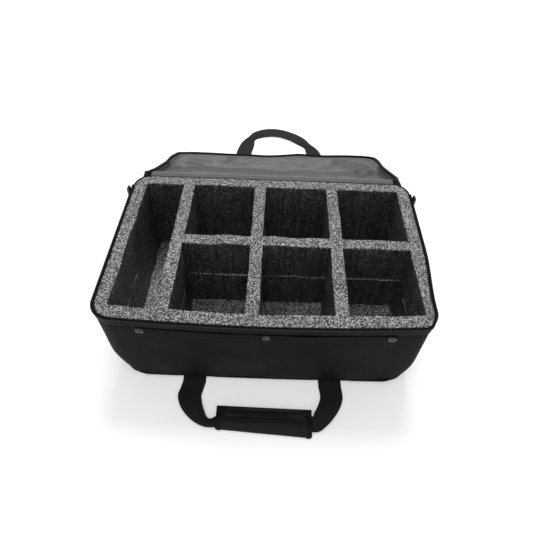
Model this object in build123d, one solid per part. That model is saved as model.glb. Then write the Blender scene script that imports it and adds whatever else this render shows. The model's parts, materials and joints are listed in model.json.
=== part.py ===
"""Soft zipped carry case for tabletop miniatures, lying open on the floor. Millimetres, +Z up.

The origin is the centre of the base's underside, at floor level. +X is the user's right and +Y runs
from the front wall over the hinge to the open lid. Every sub-part is written to parts/NODE.step.
"""

from build123d import *
import os

os.makedirs("parts", exist_ok=True)

# Case shell
case_width = 496.0
case_depth = 314.0
corner_radius = 30.0
rim_height = 172.0  # height of the zip line above the floor
rim_gap = 0.2  # each half stops this far from the zip line
gusset_thickness = 1.0
stiffener_thickness = 1.2
stiffener_drop = 4.0  # the stiffener stops this far below the rim
lining_thickness = 0.8
wall_thickness = gusset_thickness + stiffener_thickness + lining_thickness
bottom_panel_thickness = 3.0
bottom_board_thickness = 2.0
seam_height = 12.0  # bottom piping, above the floor
piping_size = 3.0
piping_stand_out = 2.0

# Lid and its fabric hinge, described with the lid closed
lid_height = 28.0
lid_pad_thickness = 3.2
lid_top_thickness = 3.0
lid_skin_thickness = 1.2
lid_edge_radius = 2.9
hinge_offset = 7.0  # from the back walls to the line the fabric folds on
hinge_y = case_depth / 2 + hinge_offset
hinge_width = 424.0
hinge_fabric = 1.2
hinge_reach_down = 20.0
hinge_line_gap = 0.8
hinge_seam_thickness = 1.0
lid_piping_drop = 1.0  # below the lid's top panel
lid_open_angle = 207.01  # from closed, until the lid's far edge lies on the floor

# Foam insert: one long channel on the left, then columns of square cells
foam_rim = 20.0
foam_divider = 20.0
foam_floor_height = 22.0
foam_layer_height = 74.9
channel_width = 66.0
column_count = 3
row_count = 2
foam_clearance = 0.1

# Zip
tape_width = 14.0
tape_edge_gap = 1.0  # from the zip line to the tape's edge
tape_thickness = 0.8
coil_height = 3.0
coil_depth = 1.8
zip_end_y = 125.0
stop_length = 3.0
slider_length = 12.0
slider_height = 9.0
slider_thickness = 3.6
slider_clearance = 0.3
slider_rest_y = 114.0
slider_ear_drop = 4.0
slider_ear_thickness = 2.0
slider_ear_overlap = 2.0
slider_edge_radius = 1.6
pull_pin_drop = 2.4  # below the slider's body
pull_pin_radius = 0.8
pull_bore_radius = 0.88
pull_eye_radius = 2.0
pull_eye_length = 7.0
pull_length = 32.0
pull_width = 9.0
pull_thickness = 1.4
pull_neck_length = 8.0
pull_tab_start = 4.5
pull_tab_radius = 3.0

# Front slip pocket
pocket_half_width = 184.0
pocket_bottom = 16.0
pocket_top = 156.0
pocket_gap = 5.0
pocket_fabric = 1.2
pocket_side_seam = 12.0
pocket_centre_seam = 10.0
pocket_bottom_seam = 8.0
hem_height = 8.0
hem_thickness = 0.8
rivet_height = 149.0
rivet_cap_radius = 6.3
rivet_cap_thickness = 1.6
rivet_post_radius = 2.5
rivet_spacing = 178.0
rivet_edge_radius = 0.9

# Webbing and handles
webbing_width = 38.0
webbing_thickness = 1.8
floor_clearance = 0.1
channel_clearance = 0.2
base_strap_x = 113.0
lid_strap_x = 96.0
strap_back_end = 150.0
lid_strap_front_end = 1.2  # from the lid's front edge
strap_tail_length = 12.0
base_handle_pivot_y = -168.0
lid_handle_pivot_y = 447.0
pivot_gap = 0.6
folded_webbing_width = 24.0
handle_run_y = -231.0
handle_run_height = 4.2
handle_rise_end_y = -196.0
handle_splice = 4.0  # the legs overlap the run by this much
handle_corner_radius = 22.0
lid_loop_top_y = 583.0
lid_loop_corner_x = 62.0
lid_loop_radius = 42.0

# Wrap-around grip on the base handle
grip_length = 150.0
grip_width = 41.0
grip_bottom = 0.9
grip_top = 10.4
grip_edge_radius = 3.0
grip_centre_y = -231.5
grip_slot_clearance = 0.2
binding_width = 5.0
binding_thickness = 0.8
touch_strip_length = 120.0
touch_strip_width = 12.0
touch_strip_y = -219.5
hook_strip_thickness = 0.8
loop_strip_bottom = 11.5
loop_strip_thickness = 0.8
flap_thickness = 1.4
flap_hinge_y = -211.0
flap_free_y = -227.0
flap_corner_radius = 3.0

foam_width = case_width - 2 * wall_thickness
foam_depth = case_depth - 2 * wall_thickness
cell_area_width = foam_width - 2 * foam_rim
cell_area_depth = foam_depth - 2 * foam_rim
cell_width = (cell_area_width - channel_width - column_count * foam_divider) / column_count
cell_depth = (cell_area_depth - (row_count - 1) * foam_divider) / row_count
front_y = -case_depth / 2
back_y = case_depth / 2
side_x = case_width / 2


def block(x_low, x_high, y_low, y_high, z_low, z_high):
    """A box between two corners."""
    size = (x_high - x_low, y_high - y_low, z_high - z_low)
    centre = ((x_low + x_high) / 2, (y_low + y_high) / 2, (z_low + z_high) / 2)
    return Pos(*centre) * Box(*size)


def slab(inset, z_low, z_high):
    """The case's rounded outline, moved inwards by inset, between two heights."""
    width = case_width - 2 * inset
    depth = case_depth - 2 * inset
    outline = RectangleRounded(width, depth, corner_radius - inset)
    return Pos(0, 0, z_low) * extrude(outline, amount=z_high - z_low)


def ring(outer_inset, thickness, z_low, z_high):
    """A wall that follows the case's outline."""
    return slab(outer_inset, z_low, z_high) - slab(outer_inset + thickness, z_low, z_high)


def three_sides(wall, y_limit=zip_end_y):
    """The left, front and right of a wall, as far back as y_limit."""
    reach = case_width
    return wall & block(-reach, reach, -reach, y_limit, -reach, reach)


def mirrored(solid):
    """The solid and its mirror image across the case's centre plane."""
    return [solid, mirror(solid, Plane.YZ)]


def opened(solid):
    """Moves a solid from the closed lid to where it lies with the lid open."""
    hinge_line = Pos(0, hinge_y, rim_height)
    return hinge_line * Rot(-lid_open_angle, 0, 0) * hinge_line.inverse() * solid


def rod_y(y_low, y_high, x, z, radius):
    """A round bar along Y."""
    return Pos(x, (y_low + y_high) / 2, z) * Rot(90, 0, 0) * Cylinder(radius, y_high - y_low)


def band(points, corner_radius_xy, width, z_low, z_high):
    """A flat strap that follows a filleted line in the XY plane."""
    with BuildPart() as strap:
        with BuildSketch(Plane.XY.offset(z_low)):
            with BuildLine():
                FilletPolyline(*points, radius=corner_radius_xy)
            trace(line_width=width)
        extrude(amount=z_high - z_low)
    return strap.part


# ---------------------------------------------------------------- base shell

def make_bottom_panel():
    """Fabric bottom with a shallow channel under it for each carry strap."""
    panel = slab(0, 0, bottom_panel_thickness)
    half = webbing_width / 2 + channel_clearance
    depth = floor_clearance + webbing_thickness
    for side in (-1, 1):
        centre = side * base_strap_x
        panel -= block(centre - half, centre + half, -case_depth, case_depth, 0, depth)
    return panel


def make_bottom_board():
    board_top = bottom_panel_thickness + bottom_board_thickness
    return slab(wall_thickness, bottom_panel_thickness, board_top)


def make_base_gusset():
    wall = ring(0, gusset_thickness, bottom_panel_thickness, rim_height - rim_gap)
    return three_sides(wall, back_y - corner_radius)


def make_base_back_panel():
    wall = ring(0, gusset_thickness, bottom_panel_thickness, rim_height - rim_gap)
    return wall - block(-side_x, side_x, -case_depth, back_y - corner_radius, 0, case_width)


def make_base_wall_stiffener():
    return ring(gusset_thickness, stiffener_thickness, bottom_panel_thickness, rim_height - stiffener_drop)


def make_base_lining():
    inset = gusset_thickness + stiffener_thickness
    return ring(inset, lining_thickness, bottom_panel_thickness, rim_height - rim_gap)


def make_base_piping():
    low = seam_height - piping_size / 2
    return ring(-piping_stand_out, piping_stand_out, low, low + piping_size)


# ---------------------------------------------------------------- foam insert

def cells():
    """The (x_low, x_high, y_low, y_high) of every compartment."""
    left = -cell_area_width / 2
    front = -cell_area_depth / 2
    found = [(left, left + channel_width, front, front + cell_area_depth)]
    for column in range(column_count):
        x_low = left + channel_width + foam_divider + column * (cell_width + foam_divider)
        for row in range(row_count):
            y_low = front + row * (cell_depth + foam_divider)
            found.append((x_low, x_low + cell_width, y_low, y_low + cell_depth))
    return found


def make_foam_pad():
    pad_bottom = bottom_panel_thickness + bottom_board_thickness
    return slab(wall_thickness + foam_clearance, pad_bottom, foam_floor_height)


def make_foam_layer(layer):
    """One layer of the insert, with the compartments cut right through it."""
    low = foam_floor_height + layer * foam_layer_height
    high = low + foam_layer_height
    foam = slab(wall_thickness + foam_clearance, low, high)
    for x_low, x_high, y_low, y_high in cells():
        foam -= block(x_low, x_high, y_low, y_high, low, high)
    return foam


# ---------------------------------------------------------------- zip

def make_base_tape():
    top = rim_height - tape_edge_gap
    return three_sides(ring(-tape_thickness, tape_thickness, top - tape_width, top))


def make_lid_tape():
    low = rim_height + tape_edge_gap
    return opened(three_sides(ring(-tape_thickness, tape_thickness, low, low + tape_width)))


def make_coil(z_low):
    return three_sides(ring(-tape_thickness - coil_depth, coil_depth, z_low, z_low + coil_height))


def make_stops(z_low):
    """The end stops that close off both ends of one half of the zip."""
    outer = side_x + tape_thickness + coil_depth
    one = block(side_x, outer, zip_end_y, zip_end_y + stop_length, z_low, z_low + coil_height)
    return mirrored(one)


def make_slider():
    """The right-hand slider, with two ears and a pin for its pull tab."""
    inner = side_x + tape_thickness + coil_depth + slider_clearance
    outer = inner + slider_thickness
    front = slider_rest_y - slider_length / 2
    back = slider_rest_y + slider_length / 2
    low = rim_height - slider_height / 2
    body = block(inner, outer, front, back, low, low + slider_height)
    body = fillet(body.edges().filter_by(Axis.X), slider_edge_radius)
    ear_bottom = low - slider_ear_drop
    ear_top = low + slider_ear_overlap
    for y_low in (front, back - slider_ear_thickness):
        body += block(inner, outer, y_low, y_low + slider_ear_thickness, ear_bottom, ear_top)
    return body + rod_y(front, back, (inner + outer) / 2, low - pull_pin_drop, pull_pin_radius)


def make_pull():
    """The right-hand pull tab, hanging from the slider's pin."""
    inner = side_x + tape_thickness + coil_depth + slider_clearance
    pin_x = inner + slider_thickness / 2
    pin_z = rim_height - slider_height / 2 - pull_pin_drop
    eye_front = slider_rest_y - pull_eye_length / 2
    eye_back = slider_rest_y + pull_eye_length / 2
    tab = block(
        pin_x - pull_thickness / 2,
        pin_x + pull_thickness / 2,
        slider_rest_y - pull_width / 2,
        slider_rest_y + pull_width / 2,
        pin_z - pull_length,
        pin_z - pull_tab_start,
    )
    tab = fillet(tab.edges().filter_by(Axis.X), pull_tab_radius)
    tab += block(
        pin_x - pull_thickness / 2,
        pin_x + pull_thickness / 2,
        eye_front,
        eye_back,
        pin_z - pull_neck_length,
        pin_z,
    )
    tab += rod_y(eye_front, eye_back, pin_x, pin_z, pull_eye_radius)
    return tab - rod_y(eye_front - 1, eye_back + 1, pin_x, pin_z, pull_bore_radius)


# ---------------------------------------------------------------- front pocket

def rivet_places():
    return [-rivet_spacing, 0.0, rivet_spacing]


def post_holes():
    """Bars along Y where the rivets pass through the pocket."""
    start = front_y - 2 * pocket_gap
    return [rod_y(start, front_y, x, rivet_height, rivet_post_radius) for x in rivet_places()]


def make_pocket_panel():
    """Pocket front with its seams, which stand it off from the wall at the ends, centre and foot."""
    outer = front_y - pocket_gap - pocket_fabric
    inner = front_y - pocket_gap
    half = pocket_half_width
    panel = block(-half, half, outer, inner, pocket_bottom, pocket_top)
    seam = pocket_centre_seam / 2
    panel += block(-seam, seam, inner, front_y, pocket_bottom, pocket_top)
    panel += block(-half, half, inner, front_y, pocket_bottom, pocket_bottom + pocket_bottom_seam)
    side_seam = block(half - pocket_side_seam, half, inner, front_y, pocket_bottom, pocket_top)
    for solid in mirrored(side_seam):
        panel += solid
    for bar in post_holes():
        panel -= bar
    return panel


def make_pocket_hem():
    outer = front_y - pocket_gap - pocket_fabric - hem_thickness
    half = pocket_half_width
    hem = block(-half, half, outer, outer + hem_thickness, pocket_top - 2 * hem_height, pocket_top)
    for bar in post_holes():
        hem -= bar
    return hem


def make_rivets():
    """Cap and post of each rivet."""
    face = front_y - pocket_gap - pocket_fabric - hem_thickness
    rivets = []
    for x in rivet_places():
        cap = rod_y(face - rivet_cap_thickness, face, x, rivet_height, rivet_cap_radius)
        cap = fillet(cap.edges().sort_by(Axis.Y)[0], rivet_edge_radius)
        rivets.append(cap + rod_y(face, front_y, x, rivet_height, rivet_post_radius))
    return rivets


# ---------------------------------------------------------------- lid, made closed and then opened

lid_top = rim_height + lid_height
lid_wall_top = lid_top - lid_top_thickness
lid_low = rim_height + rim_gap
lid_board_inset = 3.0


def make_lid_board():
    return opened(slab(lid_board_inset, lid_wall_top, lid_top - lid_skin_thickness))


def make_lid_top_panel():
    panel = slab(0, lid_wall_top, lid_top)
    panel = fillet(panel.faces().sort_by(Axis.Z)[-1].edges(), lid_edge_radius)
    return opened(panel - slab(lid_board_inset, lid_wall_top, lid_top - lid_skin_thickness))


def make_lid_gusset():
    return opened(ring(0, gusset_thickness, lid_low, lid_wall_top))


def make_lid_wall_pad():
    return opened(ring(gusset_thickness, lid_pad_thickness, lid_low, lid_wall_top))


def make_lid_lining():
    inset = gusset_thickness + lid_pad_thickness
    dish = slab(inset, lid_low, lid_wall_top)
    return opened(dish - slab(inset + lining_thickness, lid_low, lid_wall_top - lining_thickness))


def make_lid_piping():
    low = lid_wall_top - piping_size - lid_piping_drop
    return opened(ring(-piping_stand_out, piping_stand_out, low, low + piping_size))


def make_hinge_half():
    """The base's half of the fabric hinge: a flap sewn to the back panel and folded outwards."""
    half = hinge_width / 2
    top = rim_height - hinge_line_gap
    flap = block(-half, half, back_y, hinge_y - hinge_line_gap, top - hinge_fabric, top)
    seam_y = back_y + hinge_seam_thickness
    return flap + block(-half, half, back_y, seam_y, top - hinge_reach_down, top)


def make_lid_straps():
    """Straps along the lid's outer face, each with a short tail that lies on the floor."""
    half = webbing_width / 2
    flat = block(
        lid_strap_x - half,
        lid_strap_x + half,
        front_y + lid_strap_front_end,
        strap_back_end,
        lid_top,
        lid_top + webbing_thickness,
    )
    tail = block(
        lid_strap_x - half,
        lid_strap_x + half,
        lid_handle_pivot_y - pivot_gap - strap_tail_length,
        lid_handle_pivot_y - pivot_gap,
        floor_clearance,
        floor_clearance + webbing_thickness,
    )
    return mirrored(opened(flat) + tail)


# ---------------------------------------------------------------- webbing, handles and grip

def make_base_straps():
    half = webbing_width / 2
    strap = block(
        base_strap_x - half,
        base_strap_x + half,
        base_handle_pivot_y + pivot_gap,
        strap_back_end,
        floor_clearance,
        floor_clearance + webbing_thickness,
    )
    return mirrored(strap)


def make_base_handle():
    """Two legs that rise from the floor, joined by the folded run that the grip covers."""
    low = handle_run_height
    high = low + webbing_thickness
    shoulder = (base_strap_x, handle_rise_end_y)
    corner = (base_strap_x, handle_run_y)
    path = [
        shoulder,
        corner,
        (-base_strap_x, handle_run_y),
        (-base_strap_x, handle_rise_end_y),
    ]
    run = band(path, handle_corner_radius, folded_webbing_width, low, high)
    start_y = base_handle_pivot_y - pivot_gap
    profile = Polygon(
        (start_y, floor_clearance),
        (handle_rise_end_y, low),
        (handle_rise_end_y - handle_splice, low),
        (handle_rise_end_y - handle_splice, high),
        (handle_rise_end_y, high),
        (start_y, floor_clearance + webbing_thickness),
        align=None,
    )
    leg = Pos(base_strap_x, 0, 0) * extrude(Plane.YZ * profile, webbing_width / 2, both=True)
    for solid in mirrored(leg):
        run += solid
    return run


def make_lid_handle():
    """Flat arch of webbing beyond the lid's far edge."""
    start_y = lid_handle_pivot_y + pivot_gap
    path = [
        (lid_strap_x, start_y),
        (lid_loop_corner_x, lid_loop_top_y),
        (-lid_loop_corner_x, lid_loop_top_y),
        (-lid_strap_x, start_y),
    ]
    top = floor_clearance + webbing_thickness
    loop = band(path, lid_loop_radius, webbing_width, floor_clearance, top)
    return loop - block(-side_x, side_x, 0, start_y, -1, top + 1)


def make_grip_wrap():
    """Padded sleeve with a slot for the webbing that runs through it."""
    half = grip_length / 2
    low_y = grip_centre_y - grip_width / 2
    sleeve = block(-half, half, low_y, low_y + grip_width, grip_bottom, grip_top)
    sleeve = fillet(sleeve.edges().filter_by(Axis.X), grip_edge_radius)
    reach = folded_webbing_width / 2 + grip_slot_clearance
    slot_low = handle_run_height - grip_slot_clearance
    slot_high = handle_run_height + webbing_thickness + grip_slot_clearance
    return sleeve - block(-half, half, handle_run_y - reach, handle_run_y + reach, slot_low, slot_high)


def make_grip_bindings():
    """A sewn edge round each end of the sleeve."""
    half = grip_length / 2
    low_y = grip_centre_y - grip_width / 2
    edge = binding_thickness
    outer = block(
        half - binding_width,
        half,
        low_y - edge,
        low_y + grip_width + edge,
        grip_bottom - edge,
        grip_top + edge,
    )
    outer = fillet(outer.edges().filter_by(Axis.X), grip_edge_radius + edge)
    inner = block(half - binding_width, half, low_y, low_y + grip_width, grip_bottom, grip_top)
    inner = fillet(inner.edges().filter_by(Axis.X), grip_edge_radius)
    return mirrored(outer - inner)


def make_touch_strip(z_low, thickness):
    """One strip of the hook-and-loop fastener between the sleeve and its flap."""
    half = touch_strip_length / 2
    y_low = touch_strip_y - touch_strip_width / 2
    return block(-half, half, y_low, y_low + touch_strip_width, z_low, z_low + thickness)


def make_flap():
    low = loop_strip_bottom + loop_strip_thickness
    half = grip_length / 2
    flap = block(-half, half, flap_free_y, flap_hinge_y, low, low + flap_thickness)
    free_corners = flap.edges().filter_by(Axis.Z).group_by(Axis.Y)[0]
    return fillet(free_corners, flap_corner_radius)


slider_right = make_slider()
pull_right = make_pull()
lid_coil_low = rim_height + rim_gap
base_coil_low = rim_height - rim_gap - coil_height

nodes = {
    "base_bottom_panel": [make_bottom_panel()],
    "base_bottom_board": [make_bottom_board()],
    "base_gusset": [make_base_gusset()],
    "base_back_panel": [make_base_back_panel()],
    "base_wall_stiffener": [make_base_wall_stiffener()],
    "base_lining": [make_base_lining()],
    "base_piping": [make_base_piping()],
    "base_hinge_flap": [make_hinge_half()],
    "base_zip_tape": [make_base_tape()],
    "base_zip_coil": [make_coil(base_coil_low)],
    "base_zip_stops": make_stops(base_coil_low),
    "base_carry_straps": make_base_straps(),
    "foam_base_pad": [make_foam_pad()],
    "foam_tray_lower": [make_foam_layer(0)],
    "foam_tray_upper": [make_foam_layer(1)],
    "pocket_panel": [make_pocket_panel()],
    "pocket_hem": [make_pocket_hem()],
    "pocket_rivets": make_rivets(),
    "lid_top_panel": [make_lid_top_panel()],
    "lid_board": [make_lid_board()],
    "lid_gusset": [make_lid_gusset()],
    "lid_wall_pad": [make_lid_wall_pad()],
    "lid_lining": [make_lid_lining()],
    "lid_piping": [make_lid_piping()],
    "lid_hinge_flap": [opened(mirror(make_hinge_half(), Plane.XY.offset(rim_height)))],
    "lid_zip_tape": [make_lid_tape()],
    "lid_zip_coil": [opened(make_coil(lid_coil_low))],
    "lid_zip_stops": [opened(stop) for stop in make_stops(lid_coil_low)],
    "lid_carry_straps": make_lid_straps(),
    "base_handle_webbing": [make_base_handle()],
    "grip_wrap": [make_grip_wrap()],
    "grip_end_bindings": make_grip_bindings(),
    "grip_hook_strip": [make_touch_strip(grip_top, hook_strip_thickness)],
    "grip_loop_strip": [make_touch_strip(loop_strip_bottom, loop_strip_thickness)],
    "grip_flap": [make_flap()],
    "lid_handle_webbing": [make_lid_handle()],
    "zip_slider_right": [slider_right],
    "zip_pull_right": [pull_right],
    "zip_slider_left": [mirror(slider_right, Plane.YZ)],
    "zip_pull_left": [mirror(pull_right, Plane.YZ)],
}

for name, solids in nodes.items():
    shape = solids[0] if len(solids) == 1 else Compound(children=solids)
    export_step(shape, f"parts/{name}.step")
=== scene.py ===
"""Looks for the open miniature carry case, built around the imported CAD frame.

Lengths are in millimetres until a mesh is made. Lid pieces are shaped as if the lid were closed and
are then turned open about the hinge line.
"""

import json
import math
import random

import bmesh
import bpy
import numpy as np
from mathutils import Matrix, Vector


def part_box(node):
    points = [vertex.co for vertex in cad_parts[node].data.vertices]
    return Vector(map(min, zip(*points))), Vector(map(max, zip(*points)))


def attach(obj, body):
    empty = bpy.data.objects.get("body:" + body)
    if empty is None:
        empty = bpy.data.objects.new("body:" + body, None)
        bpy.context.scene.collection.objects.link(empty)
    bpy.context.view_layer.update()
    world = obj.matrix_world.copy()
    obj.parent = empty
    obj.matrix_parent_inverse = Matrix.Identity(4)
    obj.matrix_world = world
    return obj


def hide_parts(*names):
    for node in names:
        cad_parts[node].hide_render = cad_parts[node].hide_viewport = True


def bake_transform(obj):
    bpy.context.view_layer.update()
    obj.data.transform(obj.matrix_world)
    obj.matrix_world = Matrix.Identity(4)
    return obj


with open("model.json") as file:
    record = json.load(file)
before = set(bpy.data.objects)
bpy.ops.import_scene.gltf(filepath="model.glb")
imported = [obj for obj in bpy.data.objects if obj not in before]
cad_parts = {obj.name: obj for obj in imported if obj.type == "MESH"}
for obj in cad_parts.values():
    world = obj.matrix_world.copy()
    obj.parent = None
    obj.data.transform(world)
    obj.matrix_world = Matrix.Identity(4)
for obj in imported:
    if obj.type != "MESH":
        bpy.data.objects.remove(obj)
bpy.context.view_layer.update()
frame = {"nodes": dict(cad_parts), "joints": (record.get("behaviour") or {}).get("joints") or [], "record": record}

MM = 0.001


# ---------------------------------------------------------------- sizes from the frame

def box_mm(node):
    """Lowest and highest corners of a CAD node, in millimetres."""
    low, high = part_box(node)
    return np.array(low) / MM, np.array(high) / MM


gusset_low, gusset_high = box_mm("base_gusset")
back_low, back_high = box_mm("base_back_panel")
foam_low, foam_high = box_mm("foam_tray_upper")
lower_low, lower_high = box_mm("foam_tray_lower")
pad_low, pad_high = box_mm("foam_base_pad")
tape_low, tape_high = box_mm("base_zip_tape")
coil_low = box_mm("base_zip_coil")[0]
pocket_low, pocket_high = box_mm("pocket_panel")
hem_low, hem_high = box_mm("pocket_hem")
piping_low, piping_high = box_mm("base_piping")
grip_low, grip_high = box_mm("grip_wrap")
flap_low, flap_high = box_mm("grip_flap")
strap_high = box_mm("base_carry_straps")[1]
hinge_low, hinge_high = box_mm("base_hinge_flap")

SIDE_X = gusset_high[0]
FRONT_Y = gusset_low[1]
BACK_Y = back_high[1]
CORNER = BACK_Y - back_low[1]
RIM_Z = round(gusset_high[2])
WALL = SIDE_X - foam_high[0] - 0.1
ZIP_END_Y = tape_high[1]
LID_HEIGHT = 28.0  # from the rim to the lid's outer face
BOW = 9.0  # how far the soft front bulges at the rim's centre
LEFT_LEAN = 12.0  # how far the open lid's rim leans in on its left side
RIGHT_LEAN = 9.0  # and on its right side
FRONT_NARROW = 7.0  # how far the right wall is pulled in towards the front
CORNER_TUCK = 13.0  # how far the base's lower corners are pulled in
LEFT_DIP = 6.0  # how far the open lid's rim sinks on its left side
RIM_SLACK = 0.75  # how slack the far rim is, as a share of its full sag
LEFT_SAG = 7.5  # the full sag along the far rim's left half
RIM_SAGS = [(-25, 75, 11.0), (120, 45, 3.5), (62, 18, -1.5)]  # further ones: middle x, half width, depth
STRAP_WIDTH = 38
STRAP_THICK = 1.6
PIPING_OUT = 0.5  # from the outline to the middle of the piping
PIPING_RADIUS = 1.15
COIL_OUT = 1.75  # from the outline to the middle of the zip's coil
COIL_RISE = 1.5  # from the coil's foot to its middle

joints = {joint["name"]: joint for joint in frame["joints"]}
hinge = joints["lid_hinge"]
HINGE_Y = hinge["pos_m"][1] / MM
HINGE_Z = hinge["pos_m"][2] / MM
OPEN_ANGLE = math.radians(hinge["range_deg"][1])
BASE_PIVOT_Y = joints["base_handle_swing"]["pos_m"][1] / MM
LID_PIVOT_Y = joints["lid_handle_swing"]["pos_m"][1] / MM

openings = {o["name"]: np.array(o["box_m"]) / MM for o in frame["record"]["physics"]["openings"]}
CELL_MARGIN = 0.4  # the openings are this much smaller than the cells
cell_names = [name for name in openings if name.startswith(("long_", "cell_"))]


# ---------------------------------------------------------------- maths

def smooth(t):
    t = np.clip(t, 0.0, 1.0)
    return t * t * (3 - 2 * t)


def ripple(points, size, seed):
    """A smooth wavy value, about -1 to 1, at each point; its waves are about size long."""
    rng = random.Random(seed)
    total = np.zeros(len(points))
    waves = 7
    for _ in range(waves):
        direction = np.array([rng.gauss(0, 1) for _ in range(3)])
        direction /= np.linalg.norm(direction)
        length = size * rng.uniform(0.6, 1.7)
        total += np.sin(points @ direction * 2 * math.pi / length + rng.uniform(0, 2 * math.pi))
    return total / 3.2


def unit(vectors):
    return vectors / np.maximum(np.linalg.norm(vectors, axis=-1, keepdims=True), 1e-9)


def spline(points, count):
    """Catmull-Rom through rows of numbers, with count steps between neighbours."""
    rows = np.array(points, float)
    padded = np.vstack([2 * rows[0] - rows[1], rows, 2 * rows[-1] - rows[-2]])
    found = []
    for i in range(1, len(padded) - 2):
        a, b, c, d = padded[i - 1:i + 3]
        for step in range(count):
            t = step / count
            found.append(0.5 * (2 * b + (c - a) * t + (2 * a - 5 * b + 4 * c - d) * t * t
                                + (3 * b - a - 3 * c + d) * t ** 3))
    found.append(rows[-1])
    return np.array(found)


def arc_lengths(points):
    steps = np.linalg.norm(np.diff(points, axis=0), axis=1)
    return np.concatenate([[0], np.cumsum(steps)])


# ---------------------------------------------------------------- the case's outline

HALF_BACK = SIDE_X - CORNER
ARC = math.pi / 2 * CORNER
SIDE_RUN = BACK_Y - FRONT_Y - 2 * CORNER
FRONT_RUN = 2 * HALF_BACK
RUNS = [HALF_BACK, ARC, SIDE_RUN, ARC, FRONT_RUN, ARC, SIDE_RUN, ARC, HALF_BACK]
ROUND = sum(RUNS)
ZIP_START = HALF_BACK + ARC + (BACK_Y - CORNER - ZIP_END_Y)
ZIP_STOP = ROUND - ZIP_START


def rail(s):
    """Points and outward normals on the case's outline, s round it from the back's centre, left first."""
    s = np.asarray(s, float) % ROUND
    points = np.zeros((len(s), 2))
    normals = np.zeros((len(s), 2))
    starts = [(0, BACK_Y), (-HALF_BACK, BACK_Y), (-SIDE_X, BACK_Y - CORNER), (-SIDE_X, FRONT_Y + CORNER),
              (-HALF_BACK, FRONT_Y), (HALF_BACK, FRONT_Y), (SIDE_X, FRONT_Y + CORNER),
              (SIDE_X, BACK_Y - CORNER), (HALF_BACK, BACK_Y)]
    heading = math.pi
    begin = 0.0
    for index, (run, start) in enumerate(zip(RUNS, starts)):
        inside = (s >= begin - 1e-9) & (s <= begin + run + 1e-9)
        along = s[inside] - begin
        if index % 2:
            angle = heading + along / CORNER
            centre = np.array(start) + CORNER * np.array([-math.sin(heading), math.cos(heading)])
            outward = np.stack([np.sin(angle), -np.cos(angle)], 1)
            points[inside] = centre + CORNER * outward
            normals[inside] = outward
            heading += math.pi / 2
        else:
            direction = np.array([math.cos(heading), math.sin(heading)])
            points[inside] = np.array(start) + along[:, None] * direction
            normals[inside] = [math.sin(heading), -math.cos(heading)]
        begin += run
    return points, normals


def stations(start, stop, step):
    """Even stations along the outline, about step apart."""
    return np.linspace(start, stop, max(2, round((stop - start) / step) + 1))


def sweep(s, profile):
    """Sweeps a profile of (outwards, height) pairs round the outline."""
    points, normals = rail(s)
    profile = np.array(profile, float)
    rows = np.zeros((len(s), len(profile), 3))
    rows[:, :, :2] = points[:, None] + normals[:, None] * profile[None, :, :1]
    rows[:, :, 2] = profile[None, :, 1]
    return rows


def around(s, profile, form):
    """The same sweep in the soft shape that form gives it."""
    return form(sweep(s, profile))


def full_round(count):
    """Stations right round the outline."""
    return np.arange(0, ROUND, ROUND / count)


# ---------------------------------------------------------------- the soft shape of base and lid

def narrow_front(points):
    """Pulls the right wall and the foam's edge beside it in towards the front."""
    x, y = points[:, 0].copy(), points[:, 1]
    points[:, 0] -= FRONT_NARROW * smooth((x - SIDE_X + 23) / 21) * smooth((-y - 10) / 110)


def base_form(rows):
    """The front bulges towards its rim's centre, and the walls are never quite flat."""
    points = rows.reshape(-1, 3).copy()
    x, y, z = points.T
    across = np.clip(1 - (x / SIDE_X) ** 2, 0, 1) ** 1.2
    depth = smooth(-y / -FRONT_Y)
    height = 0.25 + 0.75 * smooth(z / RIM_Z)
    points[:, 1] -= BOW * across * depth * height
    corner = smooth((np.abs(x) - SIDE_X + 55) / 55) * smooth((np.abs(y) - BACK_Y + 55) / 55)
    tuck = CORNER_TUCK * corner * np.clip(1 - z / 70, 0, 1) ** 1.6
    points[:, 0] -= np.sign(x) * tuck
    points[:, 1] -= np.sign(y) * tuck
    narrow_front(points)
    belly = smooth((np.abs(x) - SIDE_X * 0.8) / (SIDE_X * 0.2))
    along = np.clip(1 - (y / BACK_Y) ** 2, 0, 1)
    points[:, 0] += np.sign(x) * belly * along * 1.5 * np.sin(np.clip(z / RIM_Z, 0, 1) * math.pi)
    return points.reshape(rows.shape)


def lid_form(rows):
    """Closed-lid shape: the same bow at the front, walls that lean in, and a rim that slumps."""
    points = rows.reshape(-1, 3).copy()
    x, y, z = points.T
    across = np.clip(1 - (x / SIDE_X) ** 2, 0, 1) ** 1.2
    far = smooth((HALF_BACK * 0.2 - y) / (HALF_BACK * 0.2 - FRONT_Y))
    rim = 1 - smooth((z - RIM_Z) / LID_HEIGHT)
    points[:, 1] -= BOW * across * smooth(-y / -FRONT_Y) * (0.45 + 0.55 * rim)
    side = smooth((np.abs(x) - SIDE_X * 0.7) / (SIDE_X * 0.3))
    left = LEFT_LEAN * (0.35 + 0.65 * smooth((140 - y) / 70))
    right = RIGHT_LEAN * smooth((y + 110) / 130)
    points[:, 0] -= np.sign(x) * side * rim * np.where(x < 0, left, right)
    belly = np.sin(np.clip((z - RIM_Z) / LID_HEIGHT, 0, 1) * math.pi)
    points[:, 0] += np.sign(x) * side * np.where(x < 0, 3.0, 5.5) * belly
    sag = LEFT_SAG * smooth((-x - 40) / 90) * smooth((x + 275) / 60)
    for middle, width, fall in RIM_SAGS:
        sag += fall * np.exp(-((x - middle) / width) ** 2)
    left_dip = np.exp(-((x + 235) / 40) ** 2) * smooth((y + 70) / 70) * smooth((155 - y) / 40)
    points[:, 2] += rim * (far * RIM_SLACK * sag + LEFT_DIP * left_dip)
    return points.reshape(rows.shape)


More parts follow.
